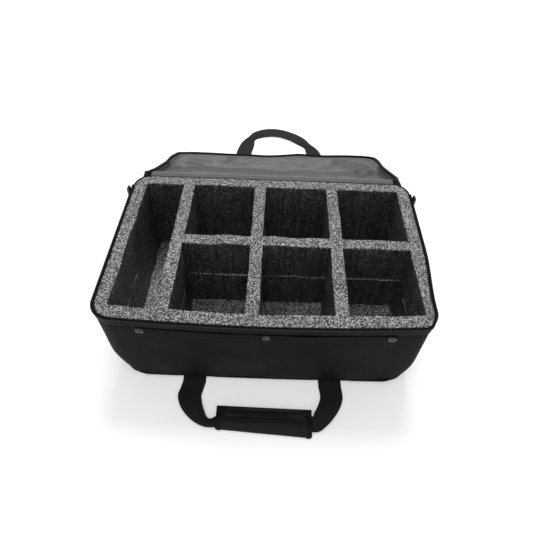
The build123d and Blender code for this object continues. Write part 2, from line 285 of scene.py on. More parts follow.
def open_lid(rows):
    """Turns closed-lid points about the hinge line to where they lie with the lid open."""
    points = rows.reshape(-1, 3).copy()
    dy = points[:, 1] - HINGE_Y
    dz = points[:, 2] - HINGE_Z
    cos, sin = math.cos(OPEN_ANGLE), math.sin(OPEN_ANGLE)
    points[:, 1] = HINGE_Y + dy * cos + dz * sin
    points[:, 2] = HINGE_Z - dy * sin + dz * cos
    return points.reshape(rows.shape)


def lid_shape(rows):
    return open_lid(lid_form(rows))


def round_corners(x, y, half_x, half_y, radius, eased=False):
    """Pulls a rectangle's grid in at its corners, and tells how far into a corner each point is."""
    corner_x = np.clip((np.abs(x) - (half_x - radius)) / radius, 0, 1)
    corner_y = np.clip((np.abs(y) - (half_y - radius)) / radius, 0, 1)
    reach = np.maximum(corner_x, corner_y)
    pull = np.where(reach > 0, reach / np.maximum(np.hypot(corner_x, corner_y), 1e-9), 1.0)
    if eased:
        pull = 1 + (pull - 1) * smooth((reach - 0.35) / 0.65)
    x = np.where(corner_x > 0, np.sign(x) * (half_x - radius + corner_x * radius * pull), x)
    y = np.where(corner_y > 0, np.sign(y) * (half_y - radius + corner_y * radius * pull), y)
    return x, y, corner_x, corner_y


# ---------------------------------------------------------------- mesh building

class Shape:
    """Gathers points and faces, with cloth coordinates in millimetres for each face corner."""

    def __init__(self):
        self.points = []
        self.faces = []
        self.corners = []
        self.count = 0

    def grid(self, rows, ring_rows=False, ring_columns=False, flip=False, us=None, vs=None):
        """A sheet of quads through rows of points; a ring joins its last row or column to its first."""
        m, n = rows.shape[:2]
        if us is None:
            us = arc_lengths(rows[:, n // 2])
            us = np.append(us, us[-1] + np.linalg.norm(rows[-1, n // 2] - rows[0, n // 2]))
        if vs is None:
            vs = arc_lengths(rows[m // 2])
            vs = np.append(vs, vs[-1] + np.linalg.norm(rows[m // 2, -1] - rows[m // 2, 0]))
        for i in range(m if ring_rows else m - 1):
            for j in range(n if ring_columns else n - 1):
                ids = [(i, j), (i, j + 1), (i + 1, j + 1), (i + 1, j)]
                if flip:
                    ids.reverse()
                self.faces.append([self.count + (a % m) * n + b % n for a, b in ids])
                self.corners.extend((us[a], vs[b]) for a, b in ids)
        self.points.append(rows.reshape(-1, 3))
        self.count += m * n

    def cap(self, ids, flip=False):
        """One face over points that are already there."""
        ids = list(ids)
        if flip:
            ids.reverse()
        self.faces.append(ids)
        flat = np.vstack(self.points)
        self.corners.extend((flat[i][0], flat[i][1]) for i in ids)

    def tube(self, rows, flip=False, **coordinates):
        """Rings joined into a tube, with a face over each end."""
        sides = rows.shape[1]
        self.grid(rows, ring_columns=True, **coordinates)
        first = self.count - rows.shape[0] * sides
        self.cap(range(first, first + sides), flip=flip)
        self.cap(range(self.count - sides, self.count), flip=not flip)

    def skins(self, outer, inner, us, down):
        """An outer and an inner skin of rings, closed in the middle and joined at their first ring."""
        start = self.count
        self.grid(outer, ring_rows=True, us=us)
        self.grid(inner, ring_rows=True, flip=down, us=us)
        count, m, n = len(outer), outer.shape[1], inner.shape[1]
        middle = start + count * m
        self.cap([start + i * m + m - 1 for i in range(count)], flip=down)
        self.cap([middle + i * n + n - 1 for i in range(count)], flip=not down)
        for i in range(count):
            j = (i + 1) % count
            self.cap([middle + i * n, middle + j * n, start + j * m, start + i * m])

    def solid(self, points, faces):
        for face in faces:
            self.faces.append([self.count + i for i in face])
            self.corners.extend([(0.0, 0.0)] * len(face))
        self.points.append(np.asarray(points, float))
        self.count += len(points)


def make_piece(name, shape, material, crease=40, check_normals=True):
    """A Blender mesh object from a Shape, in metres, with its cloth coordinates as a UV map."""
    mesh = bpy.data.meshes.new(name)
    points = np.vstack(shape.points) * MM
    mesh.from_pydata(points.tolist(), [], shape.faces)
    layer = mesh.uv_layers.new(name="cloth")
    layer.data.foreach_set("uv", (np.array(shape.corners, np.float32)).ravel())
    mesh.polygons.foreach_set("use_smooth", np.ones(len(mesh.polygons), bool))
    mesh.materials.append(material)
    mesh.validate()
    if check_normals:
        work = bmesh.new()
        work.from_mesh(mesh)
        bmesh.ops.recalc_face_normals(work, faces=work.faces)
        work.to_mesh(mesh)
        work.free()
    mesh.set_sharp_from_angle(angle=math.radians(crease))
    piece = bpy.data.objects.new(name, mesh)
    bpy.context.scene.collection.objects.link(piece)
    return piece


def thicken(piece, thickness):
    """Gives a sheet its real thickness, half to each side."""
    modifier = piece.modifiers.new("thickness", "SOLIDIFY")
    modifier.thickness = thickness * MM
    modifier.offset = 0.0
    return piece


def place(piece, body, slot, *nodes):
    """Rides on a body and stands for CAD nodes; slot is not used."""
    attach(piece, body)
    if nodes:
        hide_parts(*nodes)
    return piece


def tube_rows(path, radius, sides=8):
    """Rings of points round a path."""
    path = np.asarray(path, float)
    tangent = unit(np.gradient(path, axis=0))
    guide = np.array([0.0, 0.0, 1.0])
    across = unit(np.cross(tangent, guide) + 1e-6)
    up = unit(np.cross(across, tangent))
    turns = np.arange(sides) * 2 * math.pi / sides
    circle = np.cos(turns)[None, :, None] * across[:, None] + np.sin(turns)[None, :, None] * up[:, None]
    return path[:, None] + radius * circle


STITCH_FACES = [(0, 1, 2), (0, 2, 3), (0, 3, 4), (0, 4, 1), (5, 2, 1), (5, 3, 2), (5, 4, 3), (5, 1, 4)]


def add_stitches(shape, path, up, length=2.6, pitch=3.6, width=0.6, height=0.35):
    """A row of thread stitches along a path; up is the cloth's outward direction at each point."""
    path = np.asarray(path, float)
    up = np.broadcast_to(up, path.shape)
    lengths = arc_lengths(path)
    for middle in np.arange(pitch / 2, lengths[-1], pitch):
        ends = [np.array([np.interp(middle + side * length / 2, lengths, path[:, k]) for k in range(3)])
                for side in (-1, 1)]
        outward = np.array([np.interp(middle, lengths, up[:, k]) for k in range(3)])
        outward /= np.linalg.norm(outward)
        along = ends[1] - ends[0]
        side = np.cross(along, outward)
        side = side / np.linalg.norm(side) * width / 2
        centre = (ends[0] + ends[1]) / 2
        points = [ends[0] - outward * 0.1, centre + side, centre + outward * height,
                  centre - side, centre - outward * 0.3, ends[1] - outward * 0.1]
        shape.solid(points, STITCH_FACES)


def add_ribbon(shape, path_stations, steps=8, columns=9):
    """A strap. A station is centre x, y, z, across x, y, z, width, thickness and cupping."""
    table = spline(path_stations, steps)
    centre = table[:, 0:3]
    across = unit(table[:, 3:6])
    tangent = unit(np.gradient(centre, axis=0))
    up = unit(np.cross(tangent, across))
    up *= np.sign(up[:, 2:3] + 1e-9)
    top = [(a, 0.5 if abs(a) < 0.49 else 0.2) for a in np.linspace(-0.5, 0.5, columns)]
    section = np.array(top + [(a, -t) for a, t in reversed(top)])
    width, thick, cup = table[:, 6], table[:, 7], table[:, 8]
    rows = (centre[:, None]
            + across[:, None] * (section[None, :, :1] * width[:, None, None])
            + up[:, None] * (section[None, :, 1:] * thick[:, None, None]
                             - cup[:, None, None] * (2 * section[None, :, :1]) ** 2))
    widest = float(np.max(width))
    vs = np.concatenate([np.linspace(0, widest, columns), np.linspace(widest, 0, columns), [0.0]])
    shape.tube(rows, us=np.append(arc_lengths(centre), 0), vs=vs)


# ---------------------------------------------------------------- materials

class Nodes:
    """Short names for the shader nodes that the materials share."""

    def __init__(self, name, **surface):
        self.material = bpy.data.materials.new(name)
        self.material.use_nodes = True
        self.tree = self.material.node_tree
        self.surface = self.tree.nodes["Principled BSDF"]
        for socket, value in surface.items():
            self.surface.inputs[socket.replace("_", " ")].default_value = value

    def link(self, value, socket):
        if isinstance(value, bpy.types.NodeSocket):
            self.tree.links.new(value, socket)
        else:
            socket.default_value = value

    def node(self, kind, output=0, settings=(), **inputs):
        made = self.tree.nodes.new(kind)
        for key, value in dict(settings).items():
            setattr(made, key, value)
        for socket, value in inputs.items():
            self.link(value, made.inputs[socket.replace("_", " ")])
        return made.outputs[output]

    def math(self, operation, a, b=0.0):
        made = self.tree.nodes.new("ShaderNodeMath")
        made.operation = operation
        self.link(a, made.inputs[0])
        self.link(b, made.inputs[1])
        return made.outputs[0]

    def cloth(self):
        """Cloth coordinates (u, v) in millimetres."""
        uv = self.node("ShaderNodeUVMap", settings={"uv_map": "cloth"})
        parts = self.tree.nodes.new("ShaderNodeSeparateXYZ")
        self.link(uv, parts.inputs[0])
        return parts.outputs[0], parts.outputs[1]

    def place(self):
        """The point in the object's own frame, in metres."""
        return self.node("ShaderNodeTexCoord", output=3)

    def noise(self, scale, detail=3.0, roughness=0.55, vector=None):
        return self.node("ShaderNodeTexNoise", Vector=vector or self.place(), Scale=scale,
                         Detail=detail, Roughness=roughness)

    def ramp(self, value, *stops):
        """A colour ramp; a stop is a place and a grey or a colour."""
        made = self.tree.nodes.new("ShaderNodeValToRGB")
        elements = made.color_ramp.elements
        while len(elements) < len(stops):
            elements.new(0.5)
        for element, (where, colour) in zip(elements, stops):
            element.position = where
            if not isinstance(colour, tuple):
                colour = (colour, colour, colour)
            element.color = (*colour, 1.0)
        self.link(value, made.inputs[0])
        return made.outputs[0]

    def mix(self, share, a, b, blend="MIX"):
        made = self.tree.nodes.new("ShaderNodeMix")
        made.data_type = "RGBA"
        made.blend_type = blend
        self.link(share, made.inputs[0])
        self.link(a, made.inputs[6])
        self.link(b, made.inputs[7])
        return made.outputs[2]

    def multiply(self, a, b, share=1.0):
        return self.mix(share, a, b, "MULTIPLY")

    def blend(self, a, b, share):
        """The sum of a and b, with share given to a and the rest to b."""
        first = self.math("MULTIPLY", a, share)
        rest = self.math("MULTIPLY", b, round(1 - share, 6))
        return self.math("ADD", first, rest)

    def bump(self, height, distance, strength=1.0, before=None):
        made = self.tree.nodes.new("ShaderNodeBump")
        made.inputs["Strength"].default_value = strength
        made.inputs["Distance"].default_value = distance
        self.link(height, made.inputs["Height"])
        if before is not None:
            self.link(before, made.inputs["Normal"])
        return made.outputs[0]

    def finish(self, colour, roughness, normal=None):
        self.link(colour, self.surface.inputs["Base Color"])
        self.link(roughness, self.surface.inputs["Roughness"])
        if normal is not None:
            self.link(normal, self.surface.inputs["Normal"])
        return self.material


def weave_height(n, pitch):
    """Plain weave: threads that pass over and under each other."""
    u, v = n.cloth()
    wave_u = n.math("SINE", n.math("MULTIPLY", u, math.pi / pitch))
    wave_v = n.math("SINE", n.math("MULTIPLY", v, math.pi / pitch))
    over = n.math("GREATER_THAN", n.math("MULTIPLY", wave_u, wave_v), 0.0)
    warp = n.math("ABSOLUTE", wave_u)
    weft = n.math("ABSOLUTE", wave_v)
    difference = n.math("SUBTRACT", warp, weft)
    return n.math("ADD", weft, n.math("MULTIPLY", over, difference))


def shell_fabric():
    """Black coated polyester with a thick plain weave, dusty and slightly shiny where it is pulled tight."""
    n = Nodes("shell_fabric", Sheen_Weight=0.01, Sheen_Roughness=0.45, Specular_IOR_Level=0.09)
    weave = weave_height(n, 0.9)
    cloud = n.noise(9.0, 4.0)
    grain = n.noise(900.0, 2.0)
    tone = n.mix(cloud, (0.0025, 0.0025, 0.0026, 1), (0.0066, 0.0066, 0.0068, 1))
    thread = n.ramp(weave, (0.1, 0.35), (0.75, 1.0))
    slub = n.ramp(n.noise(480.0, 3.0, 0.7), (0.34, 0.30), (0.66, 1.7))
    colour = n.multiply(n.multiply(tone, thread, 0.75), slub)
    rough = n.ramp(n.blend(cloud, grain, 0.6), (0.3, 0.58), (0.7, 0.78))
    creases = n.bump(n.noise(26.0, 5.0, 0.6), 0.0026, 0.36)
    return n.finish(colour, rough, n.bump(weave, 0.00022, 0.8, creases))


def lining_fabric(name, dark, light):
    """Thin nylon with a fine weave and a soft sheen."""
    n = Nodes(name, Sheen_Weight=0.03, Sheen_Roughness=0.35, Specular_IOR_Level=0.14)
    weave = weave_height(n, 0.55)
    cloud = n.noise(11.0, 4.0)
    tone = n.mix(cloud, (*dark, 1), (*light, 1))
    thread = n.ramp(weave, (0.1, 0.7), (0.8, 1.0))
    colour = n.multiply(tone, thread, 0.6)
    rough = n.ramp(n.noise(60.0, 3.0), (0.3, 0.42), (0.7, 0.58))
    creases = n.bump(n.noise(30.0, 5.0, 0.65), 0.0050, 0.50)
    return n.finish(colour, rough, n.bump(weave, 0.00012, 0.6, creases))


def ribbed_webbing(name, rib, chevron, dark, light, sheen):
    """Flat webbing: ribs that slant one way and then the other across the strap."""
    n = Nodes(name, Sheen_Weight=sheen, Sheen_Roughness=0.4, Specular_IOR_Level=0.16)
    u, v = n.cloth()
    slant = n.math("PINGPONG", v, chevron)
    phase = n.math("MULTIPLY", n.math("ADD", u, n.math("MULTIPLY", slant, 0.8)), 2 * math.pi / rib)
    ribs = n.math("ADD", n.math("MULTIPLY", n.math("SINE", phase), 0.5), 0.5)
    threads = n.math("ABSOLUTE", n.math("SINE", n.math("MULTIPLY", v, math.pi / 1.1)))
    height = n.blend(ribs, threads, 0.7)
    worn = n.noise(24.0, 4.0)
    shade = n.blend(height, worn, 0.7)
    colour = n.ramp(shade, (0.15, dark), (0.9, light))
    rough = n.ramp(worn, (0.3, 0.55), (0.7, 0.75))
    return n.finish(colour, rough, n.bump(height, 0.0005, 0.9))


def foam_material(name, light_gain):
    """Charcoal cross-linked foam: coarse dark cells, with bright flecks painted into the colour as glints where a
    cell wall catches the light.
    """
    n = Nodes(name, Specular_IOR_Level=0.5)
    place = n.place()
    cells = n.node("ShaderNodeTexVoronoi", Vector=place, Scale=620.0)
    fleck = n.node("ShaderNodeTexVoronoi", output=1, Vector=place, Scale=930.0)
    lightness = n.node("ShaderNodeSeparateColor", Color=fleck)
    soft = n.noise(540.0, 4.0, 0.75)
    cloud = n.noise(14.0, 3.0)
    value = n.blend(lightness, soft, 0.52)
    # The lower stops are the foam's own dark cell speckle; the top stop paints bright glints on the flecks.
    speckle_and_glint_greys = ((0.36, 0.003), (0.47, 0.011), (0.57, 0.048), (0.68, 0.56))
    # A gain above 1 lightens the whole speckle, which paints light onto a copy of this foam.
    speckle_and_glints = n.ramp(value, *((where, grey * light_gain) for where, grey in speckle_and_glint_greys))
    tone = n.ramp(cloud, (0.3, 0.72), (0.7, 1.0))
    upright = n.node("ShaderNodeMapping", Vector=place, Scale=(1.0, 1.0, 0.04))
    cuts = n.node("ShaderNodeTexNoise", Vector=upright, Scale=210.0, Detail=3.0)
    normal = n.tree.nodes.new("ShaderNodeSeparateXYZ")
    n.link(n.node("ShaderNodeTexCoord", output=1), normal.inputs[0])
    level = n.math("ABSOLUTE", normal.outputs[2])
    on_walls = n.math("SUBTRACT", 1.0, n.math("MINIMUM", n.math("MULTIPLY", level, 1.6), 1.0))
    # Painted shade: wall faces are darkened to 0.16 to 0.5 of the tops' colour, as if lit only from above; the
    # vertical cut streaks within it are real.
    wall_shade_and_cuts = n.ramp(cuts, (0.35, 0.16), (0.62, 0.50))
    painted_wall_shade = n.mix(on_walls, (1.0, 1.0, 1.0, 1.0), wall_shade_and_cuts)
    colour = n.multiply(n.multiply(speckle_and_glints, tone), painted_wall_shade)
    rough = n.ramp(lightness, (0.1, 0.52), (0.7, 0.40), (0.95, 0.30))
    pits = n.bump(cells, 0.0012, 0.65)
    lines = n.bump(n.math("MULTIPLY", cuts, on_walls), 0.0020, 0.6, pits)
    return n.finish(colour, rough, n.bump(n.noise(160.0, 4.0), 0.0006, 0.4, lines))


def plain_noise_material(name, dark, light, scale, rough, bump, **surface):
    """A surface whose tone, roughness and relief come from one grain."""
    n = Nodes(name, **surface)
    grain = n.noise(scale, 4.0)
    fine = n.noise(scale * 7, 2.0)
    mixed = n.blend(grain, fine, 0.55)
    colour = n.ramp(mixed, (0.3, dark), (0.7, light))
    roughness = n.ramp(mixed, (0.3, rough[0]), (0.7, rough[1]))
    return n.finish(colour, roughness, n.bump(mixed, bump, 0.6))


def brushed_metal():
    """Blackened metal, worn brighter on scratches."""
    n = Nodes("dark_metal", Metallic=1.0)
    grain = n.noise(500.0, 3.0)
    scratches = n.node("ShaderNodeTexVoronoi", settings={"feature": "DISTANCE_TO_EDGE"},
                       Vector=n.place(), Scale=420.0)
    worn = n.ramp(scratches, (0.0, 0.40), (0.05, 0.018))
    rough = n.ramp(grain, (0.3, 0.16), (0.7, 0.32))
    return n.finish(worn, rough, n.bump(grain, 0.00012, 0.5))


fabric = shell_fabric()
lid_lining = lining_fabric("lid_lining_fabric", (0.080, 0.080, 0.082), (0.128, 0.128, 0.130))
base_lining = lining_fabric("base_lining_fabric", (0.02, 0.02, 0.021), (0.035, 0.035, 0.036))
webbing = ribbed_webbing("black_webbing", 3.2, 9.5, 0.0012, 0.027, 0.02)
zip_tape = ribbed_webbing("zip_tape_cloth", 1.1, 2.2, 0.0010, 0.0065, 0.01)
foam = foam_material("insert_foam", 1.0)
# Painted light: the floor pad is the same foam brightened 1.5 times, as if its floor catches more light from
# above.
painted_lit_floor_foam = foam_material("painted_lit_floor_foam", 1.5)
grip_cloth = lining_fabric("grip_cloth", (0.006, 0.006, 0.006), (0.020, 0.020, 0.021))
cord_cover = plain_noise_material("cord_cover", 0.004, 0.009, 260.0, (0.5, 0.7), 0.0002,
                                  Specular_IOR_Level=0.12)
nylon = plain_noise_material("coil_nylon", 0.004, 0.010, 700.0, (0.26, 0.42), 0.00005, Specular_IOR_Level=0.3)
thread = plain_noise_material("black_thread", 0.008, 0.035, 1500.0, (0.4, 0.6), 0.00008,
                              Specular_IOR_Level=0.2)
touch_pile = plain_noise_material("touch_pile", 0.004, 0.022, 1600.0, (0.7, 0.95), 0.0009, Sheen_Weight=0.1)
metal = brushed_metal()


# ---------------------------------------------------------------- base shell

def pucker(s, strength):
    """Small even puckers that the zip's stitching pulls into the cloth."""
    return strength * (np.sin(s * 2 * math.pi / 5.4) + 0.5 * np.sin(s * 2 * math.pi / 12.7 + 1.0))


def wall_surface(rows, s):
    """Ripples and seam puckers on the outer wall, outwards from the outline."""
    shaped = base_form(rows)
    flat = shaped.reshape(-1, 3)
    z = rows[:, :, 2].ravel()
    normals = np.repeat(rail(s)[1], rows.shape[1], axis=0)
    band = np.exp(-((z - tape_low[2] + 1.5) / 3.0) ** 2)
    foot = np.exp(-((z - 17.0) / 7.0) ** 2)
    station = np.repeat(s, rows.shape[1])
    out = ripple(flat, 120.0, 3) * 0.7 + ripple(flat, 46.0, 5) * 0.25
    out += band * (pucker(station, 0.5) - 0.6)
    out += foot * (1.5 * ripple(flat * [1, 1, 2.2], 16.0, 9) - 0.4)
    out *= smooth((RIM_Z - z) / 12.0) * smooth((z - 2) / 10)
    flat[:, :2] += normals * out[:, None]
    return flat.reshape(rows.shape)


def make_base_wall():
    """Outer cloth, board and rim binding as one wall, with the rim's edge rolled over."""
    s = full_round(620)
    outer = [(0.0, 8.0)] + [(0.0, z) for z in np.linspace(12, 150, 40)]
    outer += [(0.0, z) for z in np.linspace(152, RIM_Z - 1.4, 16)]
    roll = [(-0.3, RIM_Z - 0.6), (-0.8, RIM_Z - 0.2), (-1.5, RIM_Z - 0.3), (-2.1, RIM_Z - 1.2)]
    inner = [(-2.15, z) for z in (RIM_Z - 6, RIM_Z - 20, 90, 30, 8)]
    rows = sweep(s, outer + roll + inner)
    split = len(outer)
    shaped = base_form(rows)
    shaped[:, :split] = wall_surface(rows[:, :split], s)
    shape = Shape()
    shape.grid(shaped, ring_rows=True, ring_columns=True, us=np.append(s, ROUND))
    wall = make_piece("base_wall", shape, fabric, 50)
    return place(wall, "base", "outer_fabric", "base_gusset", "base_back_panel", "base_wall_stiffener")


STRAP_LIFT = 2.1  # room for a carry strap under the bottom cloth


def strap_lift(x):
    """How far the bottom cloth is lifted over the two carry straps under it."""
    near = np.minimum(np.abs(x - 110), np.abs(x + 115))
    return STRAP_LIFT * smooth((34 - near) / 8)


def make_base_bottom():
    """The bottom cloth turns up at its edge to the piping; a board keeps it flat inside."""
    s = full_round(360)
    rows = around(s, [(-0.1, 12.0), (0.2, 9.0), (-0.6, 5.0), (-2.4, 2.0), (-5.5, 0.4), (-10.0, 0.0),
                      (-18.0, 0.0), (-29.0, 0.0)], base_form)
    lift = strap_lift(rows[:, :, 0]) * smooth((12.0 - rows[:, :, 2]) / 9.0)
    lift[:, -2:] = STRAP_LIFT
    rows[:, :, 2] += lift * np.clip(1 - rows[:, :, 2] / 12.0, 0, 1)
    inner = around(s, [(-2.2, 12.0), (-2.4, 6.0), (-6.0, 4.6), (-29.0, 4.6)], base_form)
    shape = Shape()
    shape.skins(rows, inner, np.append(s, ROUND), down=True)
    bottom = make_piece("base_bottom_cloth", shape, fabric, 50)
    return place(bottom, "base", "outer_fabric", "base_bottom_panel", "base_bottom_board")


def make_piping(name, height, form, body, node):
    """A round cord sewn right round the case, with a slight waver."""
    s = full_round(640)
    path = around(s, [(PIPING_OUT, height)], form)[:, 0]
    path = path + 0.3 * ripple(path, 30.0, 21)[:, None] * [0, 0, 1]
    shape = Shape()
    rows = tube_rows(np.vstack([path[-1:], path, path[:1]]), PIPING_RADIUS)[1:-1]
    shape.grid(rows, ring_rows=True, ring_columns=True, us=np.append(s, ROUND))
    return place(make_piece(name, shape, cord_cover, 60), body, "piping", node)


def make_rim_lining():
    """Thin dark lining between the wall and the foam."""
    s = full_round(420)
    profile = [(-2.25, 6.0), (-2.25, 60.0), (-2.25, 120.0), (-2.25, RIM_Z - 1.8), (-2.5, RIM_Z - 0.9),
               (-2.8, RIM_Z - 1.2), (-2.95, RIM_Z - 4), (-2.95, 120.0), (-2.95, 60.0), (-2.95, 6.0)]
    rows = around(s, profile, base_form)
    shape = Shape()
    shape.grid(rows, ring_rows=True, ring_columns=True, us=np.append(s, ROUND))
    return place(make_piece("base_rim_lining", shape, base_lining, 50), "base", "base_lining_fabric",
                 "base_lining")


def tape_profile(low, high, side):
    """Zip tape: thin, a little thicker at the coil's edge, and slightly cupped."""
    steps = np.linspace(0, 1, 9)
    toward = steps if side > 0 else 1 - steps
    outer = [(0.75 + 0.35 * math.sin(t * math.pi) + 0.25 * w, low + (high - low) * t)
             for t, w in zip(steps, toward)]
    return outer + [(0.05, high), (0.05, (low + high) / 2), (0.05, low)]


def make_tape(name, low, high, form, body, node, side):
    s = stations(ZIP_START, ZIP_STOP, 2.2)
    shape = Shape()
    shape.tube(around(s, tape_profile(low, high, side), form), us=np.append(s, 0))
    return place(make_piece(name, shape, zip_tape, 50), body, "zip_tape", node)


def make_teeth(name, low, form, body, node):
    """One half of a coil zip: a nylon spiral that runs along the tape's edge."""
    pitch = 2.0
    turns = int((ZIP_STOP - ZIP_START) / pitch)
    per_turn = 9
    t = np.arange(turns * per_turn + 1) / per_turn
    s = ZIP_START + t * pitch
    points, normals = rail(s)
    angle = t * 2 * math.pi
    out = COIL_OUT + 0.7 * np.cos(angle)
    height = low + COIL_RISE + 1.25 * np.sin(angle)
    path = np.column_stack([points + normals * out[:, None], height])
    path = form(path[:, None])[:, 0]
    shape = Shape()
    shape.tube(tube_rows(path, 0.34, 5))
    core = points[::3] + normals[::3] * COIL_OUT
    cord = form(np.column_stack([core, np.full(len(core), low + COIL_RISE)])[:, None])[:, 0]
    shape.tube(tube_rows(cord, 0.62, 6))
    return place(make_piece(name, shape, nylon, 60, False), body, "zip_coil", node)


def make_lid_stops():
    """End stops pressed onto the edge of the lid's zip tape."""
    shape = Shape()
    profile = np.array([(-0.4, RIM_Z + 0.2), (2.0, RIM_Z + 0.2), (2.4, RIM_Z + 0.9), (2.4, RIM_Z + 2.9),
                        (2.0, RIM_Z + 3.6), (-0.4, RIM_Z + 3.6)])
    for end in (ZIP_START - 2.5, ZIP_STOP + 2.5):
        rows = around(end + np.array([-1.5, -1.2, 0.0, 1.2, 1.5]), profile, lid_shape)
        middle = rows.mean(axis=1, keepdims=True)
        rows[[0, -1]] = middle[[0, -1]] + (rows[[0, -1]] - middle[[0, -1]]) * 0.8
        shape.tube(rows, flip=True)
    place(make_piece("lid_zip_stop_clips", shape, metal, 60), "lid", "dark_metal", "lid_zip_stops")


def make_tape_stitches(name, seams, form, body):
    """Thread rows along a zip tape; a seam is its outward offset and height."""
    shape = Shape()
    s = stations(ZIP_START, ZIP_STOP, 4.0)
    for offset, height in seams:
        path = around(s, [(offset, height)], form)[:, 0]
        normals = np.column_stack([rail(s)[1], np.zeros(len(s))])
        if form is lid_shape:
            turned = open_lid(normals + [0, HINGE_Y, HINGE_Z])
            normals = turned - [0, HINGE_Y, HINGE_Z]
        add_stitches(shape, path, normals)
    return place(make_piece(name, shape, thread, 60, False), body, "zip_tape")


# ---------------------------------------------------------------- foam insert

def foam_lines(low, high, edges, step, round_off):
    """Grid lines from low to high, with extra ones that round off each cut edge."""
    marks = {low, high, *edges}
    lines = set()
    ordered = sorted(marks)
    for a, b in zip(ordered, ordered[1:]):
        for t in np.linspace(a, b, max(2, round((b - a) / step) + 1)):
            lines.add(round(float(t), 4))
        for share in (0.15, 0.45, 1.0):
            lines.add(round(a + share * round_off, 4))
            lines.add(round(b - share * round_off, 4))
    ordered = sorted(lines)
    kept = [ordered[0]]
    for value in ordered[1:]:
        if value - kept[-1] > 0.12 or value in marks:
            if value in marks and value - kept[-1] <= 0.12 and kept[-1] not in marks:
                kept.pop()
            kept.append(value)
    return np.array(kept)


def distance_to_box(x, y, box):
    (x_low, y_low), (x_high, y_high) = box
    dx = np.maximum(np.maximum(x_low - x, x - x_high), 0)
    dy = np.maximum(np.maximum(y_low - y, y - y_high), 0)
    return np.hypot(dx, dy)


def make_foam(name, low, high, holes, seed, node, material, shift=0.0):
    """One layer of foam with its compartments cut through; shift slides the cuts along Y."""
    round_off = 1.6
    x_low, y_low = foam_low[0], foam_low[1]
    x_high, y_high = foam_high[0], foam_high[1]
    radius = CORNER - WALL
    xs = foam_lines(x_low, x_high, [h[k][0] for h in holes for k in (0, 1)], 3.2, round_off)
    ys = foam_lines(y_low, y_high, [h[k][1] for h in holes for k in (0, 1)], 3.2, round_off)
    gx, gy = np.meshgrid(xs, ys, indexing="ij")
    cx, cy = (xs[:-1] + xs[1:]) / 2, (ys[:-1] + ys[1:]) / 2
    mx, my = np.meshgrid(cx, cy, indexing="ij")
    solid = np.ones(mx.shape, bool)
    drop = np.zeros(gx.shape)

    def rounding(distance):
        inside = np.clip(round_off - distance, 0, round_off)
        return round_off - np.sqrt(np.maximum(round_off ** 2 - inside ** 2, 0))

    for hole in holes:
        (a, b), (c, d) = hole
        solid &= ~((mx > a) & (mx < c) & (my > b) & (my < d))
        drop = np.maximum(drop, rounding(distance_to_box(gx, gy, hole)))
    edge = np.minimum(np.minimum(gx - x_low, x_high - gx), np.minimum(gy - y_low, y_high - gy))
    drop = np.maximum(drop, rounding(edge))
    middle_y = (y_low + y_high) / 2
    fx, fy = round_corners(gx, gy - middle_y, x_high, (y_high - y_low) / 2, radius, eased=True)[:2]
    fy = fy + middle_y
    levels = np.linspace(high - round_off, low, max(2, round((high - low) / 3.4)))
    m, n = gx.shape
    points = []
    index = {}
    top_ids = -np.ones((m, n), int)
    bottom_ids = -np.ones((m, n), int)
    padded = np.pad(solid, 1)
    used = padded[:-1, :-1] | padded[1:, :-1] | padded[:-1, 1:] | padded[1:, 1:]
    for i in range(m):
        for j in range(n):
            if used[i, j]:
                top_ids[i, j] = len(points)
                points.append((fx[i, j], fy[i, j], high - drop[i, j]))
                bottom_ids[i, j] = len(points)
                points.append((fx[i, j], fy[i, j], low))
    faces = []

    def column(i, j):
        """Point numbers down one cut edge."""
        if (i, j) not in index:
            ids = [top_ids[i, j]]
            for z in levels[1:-1]:
                ids.append(len(points))
                points.append((fx[i, j], fy[i, j], z))
            ids.append(bottom_ids[i, j])
            index[(i, j)] = ids
        return index[(i, j)]

    for i in range(m - 1):
        for j in range(n - 1):
            if not solid[i, j]:
                continue
            ring = [(i, j), (i + 1, j), (i + 1, j + 1), (i, j + 1)]
            faces.append([top_ids[p] for p in ring])
            faces.append([bottom_ids[p] for p in reversed(ring)])
            for (p, q), (di, dj) in zip(zip(ring, ring[1:] + ring[:1]), ((0, -1), (1, 0), (0, 1), (-1, 0))):
                if not padded[i + 1 + di, j + 1 + dj]:
                    left, right = column(*p), column(*q)
                    for k in range(len(left) - 1):
                        faces.append([right[k], left[k], left[k + 1], right[k + 1]])
    points = np.array(points)
    inner = smooth(np.minimum(np.minimum(points[:, 0] - x_low, x_high - points[:, 0]),
                              np.minimum(points[:, 1] - y_low, y_high - points[:, 1])) / 8.0)
    points[:, 0] += inner * (0.9 * ripple(points, 70.0, seed) + 0.22 * ripple(points, 9.0, seed + 1))
    points[:, 1] += inner * (0.9 * ripple(points, 70.0, seed + 2) + 0.22 * ripple(points, 9.0, seed + 3))
    points[:, 1] += inner * shift * np.sign(points[:, 1])
    lift = smooth((points[:, 2] - high + 4) / 4)
    swell = 0.35 * ripple(points, 60.0, seed + 4) + 0.12 * ripple(points, 8.0, seed + 5)
    points[:, 2] += lift * (swell - 0.3)
    shape = Shape()
    shape.points = [base_form(points[:, None])[:, 0]]
    shape.faces = faces
    shape.corners = [(0.0, 0.0)] * sum(len(f) for f in faces)
    piece = make_piece(name, shape, material, 55)
    place(piece, "base", "insert_foam", node)
    return piece


def cell_holes():
    """Each compartment's outline from the record's openings."""
    found = []
    for name in cell_names:
        low, high = openings[name]
        found.append((tuple(np.round(low[:2] - CELL_MARGIN, 3)), tuple(np.round(high[:2] + CELL_MARGIN, 3))))
    return found


# ---------------------------------------------------------------- front pocket

def front_surface(x, z, out):
    """Points on the bowed front, out millimetres in front of the wall."""
    x, z, out = np.broadcast_arrays(x, z, out)
    rows = np.stack([x, FRONT_Y - out, z], -1).astype(float)
    return base_form(rows.reshape(-1, 1, 3)).reshape(rows.shape)


POCKET_SEWN = 0.9  # from the wall to the pocket's cloth where it is sewn down
POCKET_PUFF = 0.9  # further out where it is loose


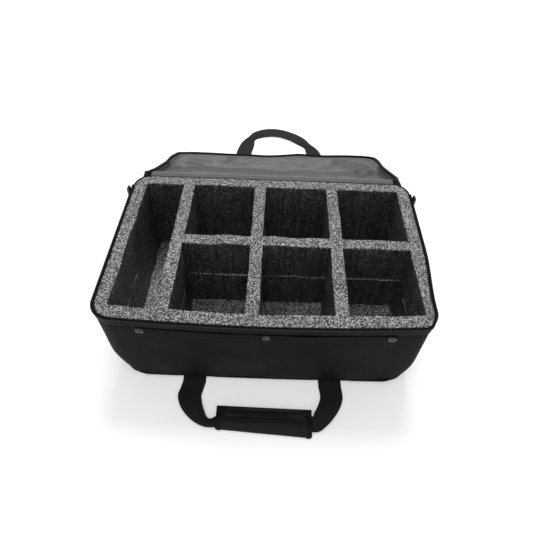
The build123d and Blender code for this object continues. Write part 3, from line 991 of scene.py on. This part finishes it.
def pocket_gap(x, z):
    """How far the pocket's cloth stands off the wall: sewn down at its sides, foot and centre."""
    half = pocket_high[0]
    side = smooth((half - np.abs(x)) / 26)
    foot = smooth((z - pocket_low[2]) / 34)
    centre = 1 - 0.9 * np.exp(-(x / 3.5) ** 2)
    mouth = 1 - 0.7 * smooth((z - 125) / 25)
    return POCKET_SEWN + POCKET_PUFF * (0.25 + 0.75 * foot) * side * centre * mouth


def pocket_rows(xs, zs, puff=0.0):
    """The pocket's cloth over a grid of x and z, puff millimetres further out than its own gap."""
    x, z = np.meshgrid(xs, zs, indexing="ij")
    flat = np.stack([x, 0 * x, z], -1).reshape(-1, 3)
    wave = (ripple(flat, 90.0, 31) * 0.8 + ripple(flat * [1, 1, 0.4], 34.0, 33) * 0.35).reshape(x.shape)
    gap = pocket_gap(x, z) + wave * smooth((pocket_high[0] - np.abs(x)) / 20) * 0.8
    gap += smooth((z - 120) / 36) * 0.25 * np.sin(x / 23.0)
    return front_surface(x, z, gap + puff)


def make_pocket():
    """The pocket's sheet, the hem folded along its mouth, and their stitches."""
    xs = np.linspace(-pocket_high[0], pocket_high[0], 185)
    zs = np.linspace(pocket_low[2], pocket_high[2], 60)
    rows = pocket_rows(xs, zs)
    shape = Shape()
    shape.grid(rows, us=np.append(xs, 0), vs=np.append(zs, 0))
    piece = thicken(make_piece("pocket_sheet", shape, fabric, 50), 0.9)
    place(piece, "base", "outer_fabric", "pocket_panel")

    hem = Shape()
    zs = np.linspace(hem_low[2], hem_high[2], 9)
    puff = 0.55 + 0.25 * np.sin((zs - hem_low[2]) / (hem_high[2] - hem_low[2]) * math.pi)
    hem_rows = pocket_rows(xs, zs, puff)
    hem.grid(hem_rows, us=np.append(xs, 0), vs=np.append(zs, 0))
    hem_piece = thicken(make_piece("pocket_hem_fold", hem, fabric, 50), 0.6)
    place(hem_piece, "base", "piping", "pocket_hem")

    seams = Shape()
    outward = np.array([0.0, -1.0, 0.0])
    for row in (1, 7):
        add_stitches(seams, hem_rows[:, row] + outward * 0.45, outward, height=0.3)
    middle = len(xs) // 2
    foot = rows.shape[1] - 8
    add_stitches(seams, rows[middle, :foot][::-1] + outward * 0.5, outward)
    for edge in (2, len(xs) - 3):
        add_stitches(seams, rows[edge, :foot] + outward * 0.5, outward)
    add_stitches(seams, rows[:, 1] + outward * 0.5, outward)
    place(make_piece("pocket_stitches", seams, thread, 60, False), "base", "piping")
    return hem_rows


def make_rivets(hem_rows):
    """Domed cap with a raised ring, a dished centre and a post that ends in the wall."""
    shape = Shape()
    profile = [(2.4, 3.0), (2.4, -0.2), (6.2, -0.2), (6.4, 0.3), (6.0, 1.0), (5.0, 1.5), (4.0, 1.3),
               (3.4, 0.7), (2.6, 0.5), (1.6, 0.9), (0.7, 1.15)]
    low, high = box_mm("pocket_rivets")
    height = (low[2] + high[2]) / 2
    reach = (high[0] - low[0]) / 2 - 6.3
    turns = np.arange(28) * 2 * math.pi / 28
    for x in (-reach, 0.0, reach):
        column = int(np.argmin(np.abs(hem_rows[:, 4, 0] - x)))
        face = hem_rows[column, 4, 1] - 0.4
        rows = np.array([[(x + r * math.cos(a), face - out if i else FRONT_Y + 1.0 - 8.5,
                           height + r * math.sin(a)) for a in turns]
                         for i, (r, out) in enumerate(profile)])
        shape.tube(rows, flip=True)
    place(make_piece("rivet_caps", shape, metal, 60), "base", "dark_metal", "pocket_rivets")


# ---------------------------------------------------------------- lid

LID_TOP = RIM_Z + LID_HEIGHT
LID_WALL = 5.0


def make_lid_wall():
    """Soft padded side walls of the lid, with the rim's edge rolled over."""
    s = full_round(620)
    outer = [(0.0, z) for z in np.linspace(RIM_Z + 1.4, LID_TOP - 6.5, 14)]
    roll = [(-4.9, RIM_Z + 2.4), (-4.2, RIM_Z + 1.0), (-3.0, RIM_Z + 0.4), (-1.5, RIM_Z + 0.3),
            (-0.5, RIM_Z + 0.6)]
    inner = [(-4.95, z) for z in (LID_TOP - 6.5, RIM_Z + 18, RIM_Z + 8)]
    profile = np.array(inner + roll + outer)
    rows = around(s, profile, lid_form)
    flat = rows.reshape(-1, 3)
    normals = np.repeat(rail(s)[1], len(profile), axis=0)
    outside = np.tile(profile[:, 0] > -0.1, len(s))
    z = np.tile(profile[:, 1], len(s))
    station = np.repeat(s, len(profile))
    band = np.exp(-((z - RIM_Z - 16.0) / 3.0) ** 2)
    out = ripple(flat, 80.0, 43) * 0.6 + ripple(flat, 26.0, 44) * 0.3 + band * (pucker(station, 0.2) - 0.5)
    flat[:, :2] += normals * (out * outside)[:, None]
    flat[:, 2] += 1.3 * smooth((flat[:, 1] - BACK_Y + 12) / 6) * smooth((RIM_Z + 4.5 - z) / 1.5)
    shape = Shape()
    shape.grid(open_lid(flat.reshape(rows.shape)), ring_rows=True, ring_columns=True, us=np.append(s, ROUND))
    wall = make_piece("lid_wall", shape, fabric, 55)
    return place(wall, "lid", "outer_fabric", "lid_gusset", "lid_wall_pad")


def make_lid_panel():
    """The lid's top cloth over its board; it lies underneath while the lid is open."""
    s = full_round(360)
    edge = [(-0.1, LID_TOP - 7.0), (0.1, LID_TOP - 4.5), (-0.5, LID_TOP - 2.2), (-2.2, LID_TOP - 0.6),
            (-5.0, LID_TOP), (-14.0, LID_TOP), (-29.0, LID_TOP)]
    rows = around(s, edge, lid_shape)
    inner = around(s, [(-4.9, LID_TOP - 7.0), (-5.0, LID_TOP - 3.4), (-14.0, LID_TOP - 3.0),
                       (-29.0, LID_TOP - 3.0)], lid_shape)
    shape = Shape()
    shape.skins(rows, inner, np.append(s, ROUND), down=False)
    panel = make_piece("lid_panel", shape, fabric, 50)
    return place(panel, "lid", "outer_fabric", "lid_top_panel", "lid_board")


def fold(x, y, start, end, width, height):
    """A creased ridge from start to end that fades at both ends; a negative height makes a valley."""
    start, end = np.array(start, float), np.array(end, float)
    along = end - start
    length = np.linalg.norm(along)
    along /= length
    dx, dy = x - start[0], y - start[1]
    t = (dx * along[0] + dy * along[1]) / length
    off = np.abs(-dx * along[1] + dy * along[0])
    ends = smooth(t / 0.25) * smooth((1 - t) / 0.25)
    return height * np.clip(1 - off / width, 0, 1) * ends * ((t > 0) & (t < 1))


def facet(x, y, corners, depth):
    """A flat sunken triangle with sharp sides, like cloth pulled tight between three points."""
    total = np.full(x.shape, 1e9)
    corners = np.array(corners, float)
    if np.cross(corners[1] - corners[0], corners[2] - corners[0]) < 0:
        corners = corners[::-1]
    for a, b in zip(corners, np.roll(corners, -1, axis=0)):
        side = (b - a) / np.linalg.norm(b - a)
        total = np.minimum(total, side[0] * (y - a[1]) - side[1] * (x - a[0]))
    return depth * np.clip(total / 14.0, 0, 1)


CREASE_STEP = 7.5  # how far the lining drops at its long crease
LINING_LEAST = 4.2  # the lining's least and greatest depth
LINING_MOST = LID_HEIGHT - 4.6


def lining_depth(x, y):
    """How far the loose lining lies above the closed lid's rim plane, at closed-lid x, y."""
    deep = LID_HEIGHT - 5.4
    half_x = SIDE_X - LID_WALL
    side = half_x - np.abs(x)
    back = BACK_Y - LID_WALL - y
    front = y - (FRONT_Y + LID_WALL)
    crease_y = -4.0 - 24.0 * (x / half_x) ** 2 + 4.0 * np.sin(x / 60.0)
    run = crease_y - (FRONT_Y + LID_WALL)
    slope = np.clip(front / run, 0, 1)
    drape = 4.5 + (deep - 4.5 - CREASE_STEP) * slope ** 0.85
    step = smooth((y - crease_y) / 12.0)
    plain = np.where(y < crease_y, drape, deep - CREASE_STEP + CREASE_STEP * step)
    plain = plain * smooth(front / 7.0 + 0.12)
    plain = plain * smooth(side / 13.0 + 0.06) * smooth(back / 30.0)
    return plain


def make_lid_lining():
    """Loose grey lining: it slopes down from the far rim to a crease, and then lies on the lid's floor."""
    xs = np.linspace(-1, 1, 190)
    ys = np.linspace(-1, 1, 120)
    u, v = np.meshgrid(xs, ys, indexing="ij")
    half_x = SIDE_X - LID_WALL
    half_y = (BACK_Y - FRONT_Y) / 2 - LID_WALL
    middle_y = (BACK_Y + FRONT_Y) / 2
    radius = CORNER - LID_WALL
    x, y, corner_x, corner_y = round_corners(u * half_x, v * half_y, half_x, half_y, radius)
    y = y + middle_y
    edge = np.minimum(1 - np.abs(u), 1 - np.abs(v)) * half_y
    depth = lining_depth(x, y)
    corner = smooth(1 - np.hypot(corner_x, corner_y))
    depth = depth * np.where((corner_x > 0) & (corner_y > 0), 0.15 + 0.85 * corner, 1.0)
    flat = np.stack([x, y, 0 * x], -1).reshape(-1, 3)
    inner = smooth(edge / 16.0)
    crumple = (ripple(flat, 70.0, 61) * 1.1 + ripple(flat, 26.0, 62) * 0.5).reshape(x.shape)
    depth += inner * crumple
    relief = np.zeros(x.shape)
    for start, end, width, height in LINING_FOLDS:
        relief += fold(x, y, start, end, width, height)
    for corners, sink in LINING_FACETS:
        relief -= facet(x, y, corners, sink)
    depth = np.clip(depth - FOLD_GAIN * relief * inner, LINING_LEAST, LINING_MOST)
    rows = np.stack([x, y, RIM_Z + 1.2 + depth], -1)
    shape = Shape()
    shape.grid(lid_shape(rows), us=np.append(xs * half_x, 0), vs=np.append(ys * half_y, 0))
    piece = thicken(make_piece("lid_lining_sheet", shape, lid_lining, 60), 0.5)
    place(piece, "lid", "lid_lining_fabric", "lid_lining")
    width, length = 2 * half_x * MM + 0.06, 2 * half_y * MM + 0.06
    return piece


FOLD_GAIN = 2.5  # how strongly the folds and facets show
# A fold is its start and end in closed-lid x, y, its half width and its height towards the open side.
LINING_FOLDS = [
    ((-70, -128), (-96, -40), 15, 3.2), ((-40, -140), (-78, -30), 13, 2.8), ((100, -135), (60, -30), 16, 2.6),
    ((150, -140), (122, -25), 15, 3.6), ((206, -120), (150, -40), 10, 3.4), ((222, -100), (160, -14), 9, 3.2),
    ((226, -72), (166, 8), 9, 3.0), ((228, -40), (172, 26), 9, 2.8), ((-208, -60), (-150, -20), 9, 2.6),
    ((-226, -20), (-168, 4), 8, 3.0), ((-222, 26), (-172, 20), 8, 2.8), ((-212, -96), (-130, -60), 12, 2.4),
    ((10, -138), (24, -60), 16, 1.8), ((-150, -136), (-120, -70), 14, 2.0), ((60, 10), (150, 30), 12, 1.6),
    ((-120, 22), (-20, 14), 12, 1.4),
]
# A facet is its three corners in closed-lid x, y and its depth.
LINING_FACETS = [
    (((-118, -134), (-78, -140), (-124, -12)), 5.5),
    (((140, -130), (214, -132), (104, -18)), 5.5),
]


def hinge_strip(base_side, crown, lid_side, xs):
    """Rows of a strip from the base over the hinge line to the lid, and its path; sides are (y, z) pairs."""
    closed = np.array([(0, y, z) for y, z in lid_side], float)[:, None]
    opened = open_lid(closed)[:, 0]
    path = np.array([(0.0, y, z) for y, z in base_side] + [(0.0, HINGE_Y, crown)] + opened.tolist())
    rows = np.repeat(path[None], len(xs), axis=0)
    rows[:, :, 0] = xs[:, None]
    return rows, path


def across_hinge(piece):
    """Bakes a strip's placement into its mesh; it is not attached to a body."""
    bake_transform(piece)
    return piece


def make_hinge_cloth():
    """One strip of cloth from the base's back wall, over the hinge line and down the lid's back wall."""
    reach = hinge_high[2] - hinge_low[2]
    top = RIM_Z - 0.5
    base_side = [(BACK_Y + 0.7, top - reach + k * (reach - 2) / 8) for k in range(9)]
    base_side += [(BACK_Y + 1.3, top - 0.7), (BACK_Y + 3.2, top - 0.1), (HINGE_Y - 2.5, top + 0.1)]
    lid_side = [(y, 2 * RIM_Z - z) for y, z in reversed(base_side)]
    xs = np.linspace(-hinge_high[0], hinge_high[0], 150)
    rows, path = hinge_strip(base_side, HINGE_Z, lid_side, xs)
    slack = np.clip(1 - np.abs(np.arange(len(path)) - len(base_side)) / 4, 0, 1)
    rows[:, :, 2] += slack[None] * (0.3 * np.sin(xs / 17.0)[:, None] - 1.3)
    shape = Shape()
    shape.grid(rows, us=np.append(xs, 0), vs=np.append(arc_lengths(path), 0))
    piece = thicken(make_piece("hinge_cloth", shape, fabric, 60), 0.8)
    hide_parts("base_hinge_flap", "lid_hinge_flap")
    return across_hinge(piece)


def make_hinge_lining():
    """Grey lining on the hinge's inner side, from the foam's edge to the lid's lining."""
    over = RIM_Z + 0.2
    base_side = [(BACK_Y - WALL + 0.4, RIM_Z - 3.0), (BACK_Y - WALL + 0.5, RIM_Z - 0.6),
                 (BACK_Y - WALL + 1.2, over + 0.1), (BACK_Y, over), (BACK_Y + 2.5, over)]
    lid_side = [(BACK_Y + 2.5, RIM_Z - 0.2), (BACK_Y, RIM_Z - 0.2), (BACK_Y - 3.0, RIM_Z - 0.1),
                (BACK_Y - 5.0, RIM_Z + 0.3), (BACK_Y - 6.2, RIM_Z + 1.6), (BACK_Y - 7.2, RIM_Z + 3.6),
                (BACK_Y - 8.2, RIM_Z + 6.6)]
    half = HALF_BACK + 4.0
    xs = np.linspace(-half, half, 200)
    rows, path = hinge_strip(base_side, over, lid_side, xs)
    flat = rows.reshape(-1, 3)
    middle = smooth(1 - np.abs(flat[:, 1] - HINGE_Y) / 7.0)
    flat[:, 2] += middle * (0.3 * ripple(flat, 22.0, 81) - 0.1)
    shape = Shape()
    shape.grid(flat.reshape(rows.shape), us=np.append(xs, 0), vs=np.append(arc_lengths(path), 0))
    piece = thicken(make_piece("hinge_lining", shape, lid_lining, 60), 0.3)
    return across_hinge(piece)


# ---------------------------------------------------------------- straps and handles

def make_base_straps():
    """Carry straps under the bottom, from the back to the seam of the front handle."""
    shape = Shape()
    for side, back_x, front_x in ((-1, -113, -117.5), (1, 113, 107.5)):
        route = ((back_x, strap_high[1]), (back_x, 60), (back_x, -60), (front_x, -140),
                 (front_x, BASE_PIVOT_Y))
        path = [(x, y, 1.0, side, 0, 0, STRAP_WIDTH, STRAP_THICK, 0) for x, y in route]
        add_ribbon(shape, path)
    return place(make_piece("base_straps", shape, webbing, 60), "base", "webbing", "base_carry_straps")


# A station of a strap: centre x, y, z, across x, y, z, width, thickness, cupping.
BASE_HANDLE = [
    (-118, -168, 1.0, -1, 0, 0, 38, 1.6, 0.0),
    (-120, -180, 2.0, -1, 0.02, 0, 38, 1.6, 0.3),
    (-121.5, -190, 4.4, -1, 0.02, 0.02, 38, 1.7, 0.4),
    (-119.5, -199.5, 5.4, -1, -0.12, 0.05, 37, 1.8, 0.8),
    (-113.5, -212, 7.6, -0.93, -0.36, 0.10, 32, 2.2, 1.8),
    (-104, -224, 8.4, -0.78, -0.60, 0.14, 25, 3.0, 2.4),
    (-93.5, -233, 8.0, -0.45, -0.88, 0.10, 17, 3.8, 2.2),
    (-84, -236, 7.0, -0.12, -0.99, 0.0, 14, 3.6, 1.4),
    (-66, -233, 6.0, 0, -1, 0, 20, 2.0, 0.2),
    (0, -232, 5.2, 0, -1, 0, 24, 1.8, 0.0),
    (62, -232.5, 5.6, 0.05, -1, 0, 24, 1.8, 0.0),
    (80, -233.5, 7.2, 0.30, -0.95, -0.08, 25, 2.0, 0.6),
    (89, -225.5, 8.4, 0.66, -0.75, -0.08, 28, 2.0, 1.2),
    (98, -213.5, 7.8, 0.86, -0.50, -0.04, 31, 1.9, 1.0),
    (105.5, -199.5, 5.6, 0.98, -0.18, 0, 35, 1.7, 0.6),
    (109, -186, 3.2, 1, -0.02, 0, 37, 1.6, 0.3),
    (107.5, -168, 1.0, 1, 0, 0, 38, 1.6, 0.0),
]
LID_HANDLE = [
    (-85, 447.2, 1.1, -1, 0, 0, 38, 1.6, 0.0),
    (-80, 468, 1.4, -1, 0.04, 0, 38, 1.6, 0.2),
    (-76, 492, 2.6, -0.99, 0.12, 0.04, 38, 1.7, 0.6),
    (-69.5, 518, 4.4, -0.95, 0.28, 0.10, 34, 2.0, 1.6),
    (-60, 543, 6.2, -0.82, 0.57, 0.22, 20, 3.4, 2.4),
    (-47, 560, 5.0, -0.45, 0.88, 0.12, 28, 2.2, 1.4),
    (-20, 573, 3.6, -0.16, 0.99, 0.02, 36, 1.7, 0.6),
    (10, 573.5, 3.2, 0.10, 0.99, 0, 37, 1.6, 0.4),
    (42, 560, 3.8, 0.40, 0.92, 0, 35, 1.7, 0.8),
    (68, 538, 5.2, 0.62, 0.78, 0.10, 30, 2.0, 1.6),
    (86, 515, 6.4, 0.84, 0.52, 0.22, 20, 3.4, 2.4),
    (97, 498, 4.6, 0.95, 0.26, 0.06, 31, 2.0, 1.4),
    (103, 478, 2.4, 1, 0.05, 0, 38, 1.6, 0.4),
    (100, 447.2, 1.1, 1, 0, 0, 38, 1.6, 0.0),
]


def make_handle(name, path, body, node):
    """A carry handle: one strap along its stations."""
    shape = Shape()
    add_ribbon(shape, path, steps=10, columns=11)
    piece = make_piece(name, shape, webbing, 60)
    return place(piece, body, "webbing", node)


def make_lid_straps():
    """Straps on the lid's outer face, each with a short tail that lies on the floor."""
    shape = Shape()
    for side, x, tail_x in ((-1, -96, -85), (1, 96, 100)):
        flat = [(x, y, LID_TOP + 0.9) for y in (150, 60, -40, -120)] + [(x, FRONT_Y + 3, LID_TOP + 0.9)]
        opened = open_lid(np.array(flat, float)[:, None])[:, 0]
        path = [(*p, side, 0, 0, STRAP_WIDTH, STRAP_THICK, 0) for p in opened.tolist()]
        path.append((tail_x, LID_PIVOT_Y, 1.1, side, 0, 0, STRAP_WIDTH, STRAP_THICK, 0))
        add_ribbon(shape, path)
    return place(make_piece("lid_straps", shape, webbing, 60), "lid", "webbing", "lid_carry_straps")


def grip_section(t):
    """The sleeve's cross-section at t from its left end to its right end, as (y, z) pairs."""
    rear = grip_high[1] + 1.0 - 2.4 * t
    front = grip_low[1] + 6.5 - 9.0 * t
    low, high = grip_low[2], grip_high[2]
    points = []
    for share, rise in ((0.0, 0.35), (0.0, 0.72), (0.06, 0.94), (0.16, 1.0), (0.3, 0.99), (0.42, 0.97),
                        (0.54, 1.07), (0.66, 1.12), (0.78, 1.04), (0.88, 0.85), (0.96, 0.55), (1.0, 0.22),
                        (0.97, 0.02), (0.85, 0.0), (0.6, 0.0), (0.4, 0.0), (0.15, 0.0), (0.03, 0.08)):
        points.append((rear + (front - rear) * share, low + (high - low) * rise))
    return np.array(points)


def make_grip():
    """Padded sleeve that narrows to the left, with sewn bindings at both ends."""
    half = grip_high[0]
    ts = np.concatenate([[0.0, 0.012], np.linspace(0.03, 0.97, 70), [0.988, 1.0]])
    rows = []
    for t in ts:
        section = grip_section(t)
        pinch = 1 - 0.14 * math.exp(-((min(t, 1 - t) - 0.055) / 0.02) ** 2)
        centre = section.mean(0)
        end = 1 - 0.10 * (1 - smooth(min(t, 1 - t) / 0.02))
        section = centre + (section - centre) * [end, pinch * end]
        rows.append(np.column_stack([np.full(len(section), -half + 2 * half * t), section]))
    rows = np.array(rows)
    flat = rows.reshape(-1, 3)
    flat[:, 2] += ripple(flat, 34.0, 71) * 0.35 * smooth((flat[:, 2] - 6) / 4)
    flat[:, 1] += ripple(flat, 50.0, 72) * 0.5
    rows = flat.reshape(rows.shape)
    shape = Shape()
    shape.tube(rows)
    sleeve = make_piece("grip_sleeve", shape, grip_cloth, 60)
    soft = sleeve.modifiers.new("soft", "SUBSURF")
    soft.levels = 1
    soft.render_levels = 1
    place(sleeve, "base_handle", "outer_fabric", "grip_wrap")

    bindings = Shape()
    stitches = Shape()
    for first, seam in ((0, 7), (len(ts) - 5, len(ts) - 8)):
        loop = []
        for section in rows[first:first + 5].copy():
            centre = section.mean(0)
            spread = unit(section - centre)
            section[:, 1:] += spread[:, 1:] * 0.7
            section[:, 2] = np.maximum(section[:, 2], 0.35)
            loop.append(section)
        outer = np.array(loop)
        inner = outer.copy()
        centre = outer.mean(axis=1, keepdims=True)
        inner[:, :, 1:] -= (unit(outer - centre) * 1.1)[:, :, 1:]
        both = np.concatenate([outer, inner[::-1]])
        bindings.grid(both, ring_rows=True, ring_columns=True)
        top = rows[seam, 2:12]
        add_stitches(stitches, top + [0, 0, 0.15], (0, 0, 1), height=0.3)
    place(make_piece("grip_bindings", bindings, cord_cover, 60), "base_handle", "piping", "grip_end_bindings")
    place(make_piece("grip_stitches", stitches, thread, 60, False), "base_handle", "piping")


def make_flap():
    """Narrow flap hinged along the sleeve's rear edge; its free edge bows and stands up a little."""
    half = flap_high[0]
    us = np.linspace(-1, 1, 90)
    vs = np.linspace(0, 1, 14)
    u, v = np.meshgrid(us, vs, indexing="ij")
    t = (u + 1) / 2
    rear = flap_high[1] + 1.2 - 2.6 * t
    bow = 1 - np.abs(u) ** 2.6
    free = flap_low[1] + 7.0 - 7.6 * bow + (0.6 - 1.2 * t)
    y = rear + (free - rear) * v
    arch = np.sin(v * math.pi * 0.62)
    z = flap_low[2] - 2.2 + 2.6 * arch + 0.9 * v ** 3 * (0.6 + 0.5 * bow)
    z += 0.25 * np.sin(u * 9.0) * v
    corner = np.clip((np.abs(u) - 0.965) / 0.035, 0, 1) * v
    x = u * half - np.sign(u) * corner ** 2 * 0.8
    shape = Shape()
    rows = np.stack([x, y, z], -1)
    shape.grid(rows)
    piece = thicken(make_piece("grip_flap_cover", shape, grip_cloth, 60), 1.2)
    place(piece, "grip_flap", "outer_fabric", "grip_flap")
    seams = Shape()
    add_stitches(seams, rows[3:-3, 11] + [0, 0, 0.6], (0, 0, 1), height=0.3)
    for column in (3, len(us) - 4):
        add_stitches(seams, rows[column, 1:12] + [0, 0, 0.6], (0, 0, 1), height=0.3)
    place(make_piece("grip_flap_stitches", seams, thread, 60, False), "grip_flap", "piping")


# ---------------------------------------------------------------- build everything

make_base_wall()
make_base_bottom()
make_piping("base_piping_cord", (piping_low[2] + piping_high[2]) / 2, base_form, "base", "base_piping")
make_rim_lining()
make_tape("base_zip_tape_band", tape_low[2], tape_high[2], base_form, "base", "base_zip_tape", 1)
make_teeth("base_zip_teeth", coil_low[2], base_form, "base", "base_zip_coil")
make_tape_stitches("base_zip_stitches", [(1.15, tape_low[2] + 2.0), (1.3, tape_low[2] + 7.5)],
                   base_form, "base")
make_foam("foam_upper", foam_low[2], foam_high[2], cell_holes(), 101, "foam_tray_upper", foam)
make_foam("foam_lower", lower_low[2], lower_high[2], cell_holes(), 131, "foam_tray_lower", foam, 1.6)
make_foam("foam_floor", pad_low[2], pad_high[2], [], 161, "foam_base_pad", painted_lit_floor_foam)
make_rivets(make_pocket())

make_lid_wall()
make_lid_panel()
make_piping("lid_piping_cord", LID_TOP - 5.5, lid_shape, "lid", "lid_piping")
make_lid_lining()
make_tape("lid_zip_tape_band", RIM_Z + 1.0, RIM_Z + 15.0, lid_shape, "lid", "lid_zip_tape", -1)
make_teeth("lid_zip_teeth", RIM_Z + 0.2, lid_shape, "lid", "lid_zip_coil")
make_lid_stops()
make_tape_stitches("lid_zip_stitches", [(1.15, RIM_Z + 13.0), (1.3, RIM_Z + 7.5)], lid_shape, "lid")
make_hinge_cloth()
make_hinge_lining()

make_base_straps()
make_lid_straps()
make_handle("base_handle_strap", BASE_HANDLE, "base_handle", "base_handle_webbing")
make_handle("lid_handle_strap", LID_HANDLE, "lid_handle", "lid_handle_webbing")
make_grip()
make_flap()

CAD_FINISH = {
    "zip_slider_left": metal, "zip_slider_right": metal, "zip_pull_left": metal, "zip_pull_right": metal,
    "base_zip_stops": metal, "grip_hook_strip": touch_pile, "grip_loop_strip": touch_pile,
}
for node, material in CAD_FINISH.items():
    part = frame["nodes"][node]
    part.data.materials.clear()
    part.data.materials.append(material)
    bevel = part.modifiers.new("edge", "BEVEL")
    bevel.width = 0.3 * MM
    bevel.segments = 2


# ---------------------------------------------------------------- floor, lights and camera

FLOOR_GLOW = 0.34
FLOOR_HALF = 12000.0
SKY_STRENGTH = 0.55
CAMERA_TURN = (0.65, 50.41, 2.47)  # yaw, pitch and roll in degrees
CAMERA_PLACE = (4.95, -487.7, 675.55)
CAMERA_LENS = 28.49


def make_floor():
    """A large plain floor, a little below the case."""
    n = Nodes("pale_floor", Specular_IOR_Level=0.2)
    n.surface.inputs["Emission Color"].default_value = (1, 1, 1, 1)
    n.surface.inputs["Emission Strength"].default_value = FLOOR_GLOW
    tone = n.ramp(n.noise(3.0, 3.0), (0.3, 0.76), (0.7, 0.8))
    n.finish(tone, n.ramp(n.noise(40.0), (0.3, 0.7), (0.7, 0.85)))
    lines = np.linspace(-FLOOR_HALF, FLOOR_HALF, 13)
    x, y = np.meshgrid(lines, lines, indexing="ij")
    shape = Shape()
    shape.grid(np.stack([x, y, np.full(x.shape, -0.1)], -1))
    floor = make_piece("floor", shape, n.material, check_normals=False)


def make_light(name, place_mm, target_mm, size, power):
    """An area light, size metres wide, that faces a target."""
    lamp = bpy.data.lights.new(name, "AREA")
    lamp.size = size
    lamp.energy = power
    light = bpy.data.objects.new(name, lamp)
    bpy.context.scene.collection.objects.link(light)
    light.location = Vector(place_mm) * MM
    direction = Vector(target_mm) - Vector(place_mm)
    light.rotation_euler = direction.to_track_quat("-Z", "Y").to_euler()


def make_camera():
    """Looks down over the front wall, from slightly right of the middle."""
    yaw, pitch, roll = (math.radians(angle) for angle in CAMERA_TURN)
    forward = Vector((math.sin(yaw) * math.cos(pitch), math.cos(yaw) * math.cos(pitch), -math.sin(pitch)))
    level = Vector((math.cos(yaw), -math.sin(yaw), 0))
    up = level.cross(forward)
    right_axis = math.cos(roll) * level + math.sin(roll) * up
    up_axis = -math.sin(roll) * level + math.cos(roll) * up
    data = bpy.data.cameras.new("camera")
    data.lens = CAMERA_LENS
    data.sensor_width = 36.0
    camera = bpy.data.objects.new("camera", data)
    bpy.context.scene.collection.objects.link(camera)
    turn = Matrix((right_axis, up_axis, -forward)).transposed().to_4x4()
    camera.matrix_world = Matrix.Translation(Vector(CAMERA_PLACE) * MM) @ turn
    bpy.context.scene.camera = camera


def make_world():
    """Even white light from all round."""
    world = bpy.data.worlds.new("studio")
    world.use_nodes = True
    sky = world.node_tree.nodes["Background"]
    sky.inputs["Color"].default_value = (1, 1, 1, 1)
    sky.inputs["Strength"].default_value = SKY_STRENGTH
    bpy.context.scene.world = world
    bpy.context.scene.view_settings.view_transform = "Standard"


make_floor()
make_world()
make_light("overhead_key", (120, 1300, 2350), (0, 0, 100), 1.1, 46.0)
make_light("front_fill", (-300, -900, 2300), (0, 0, 100), 1.8, 14.0)
make_camera()
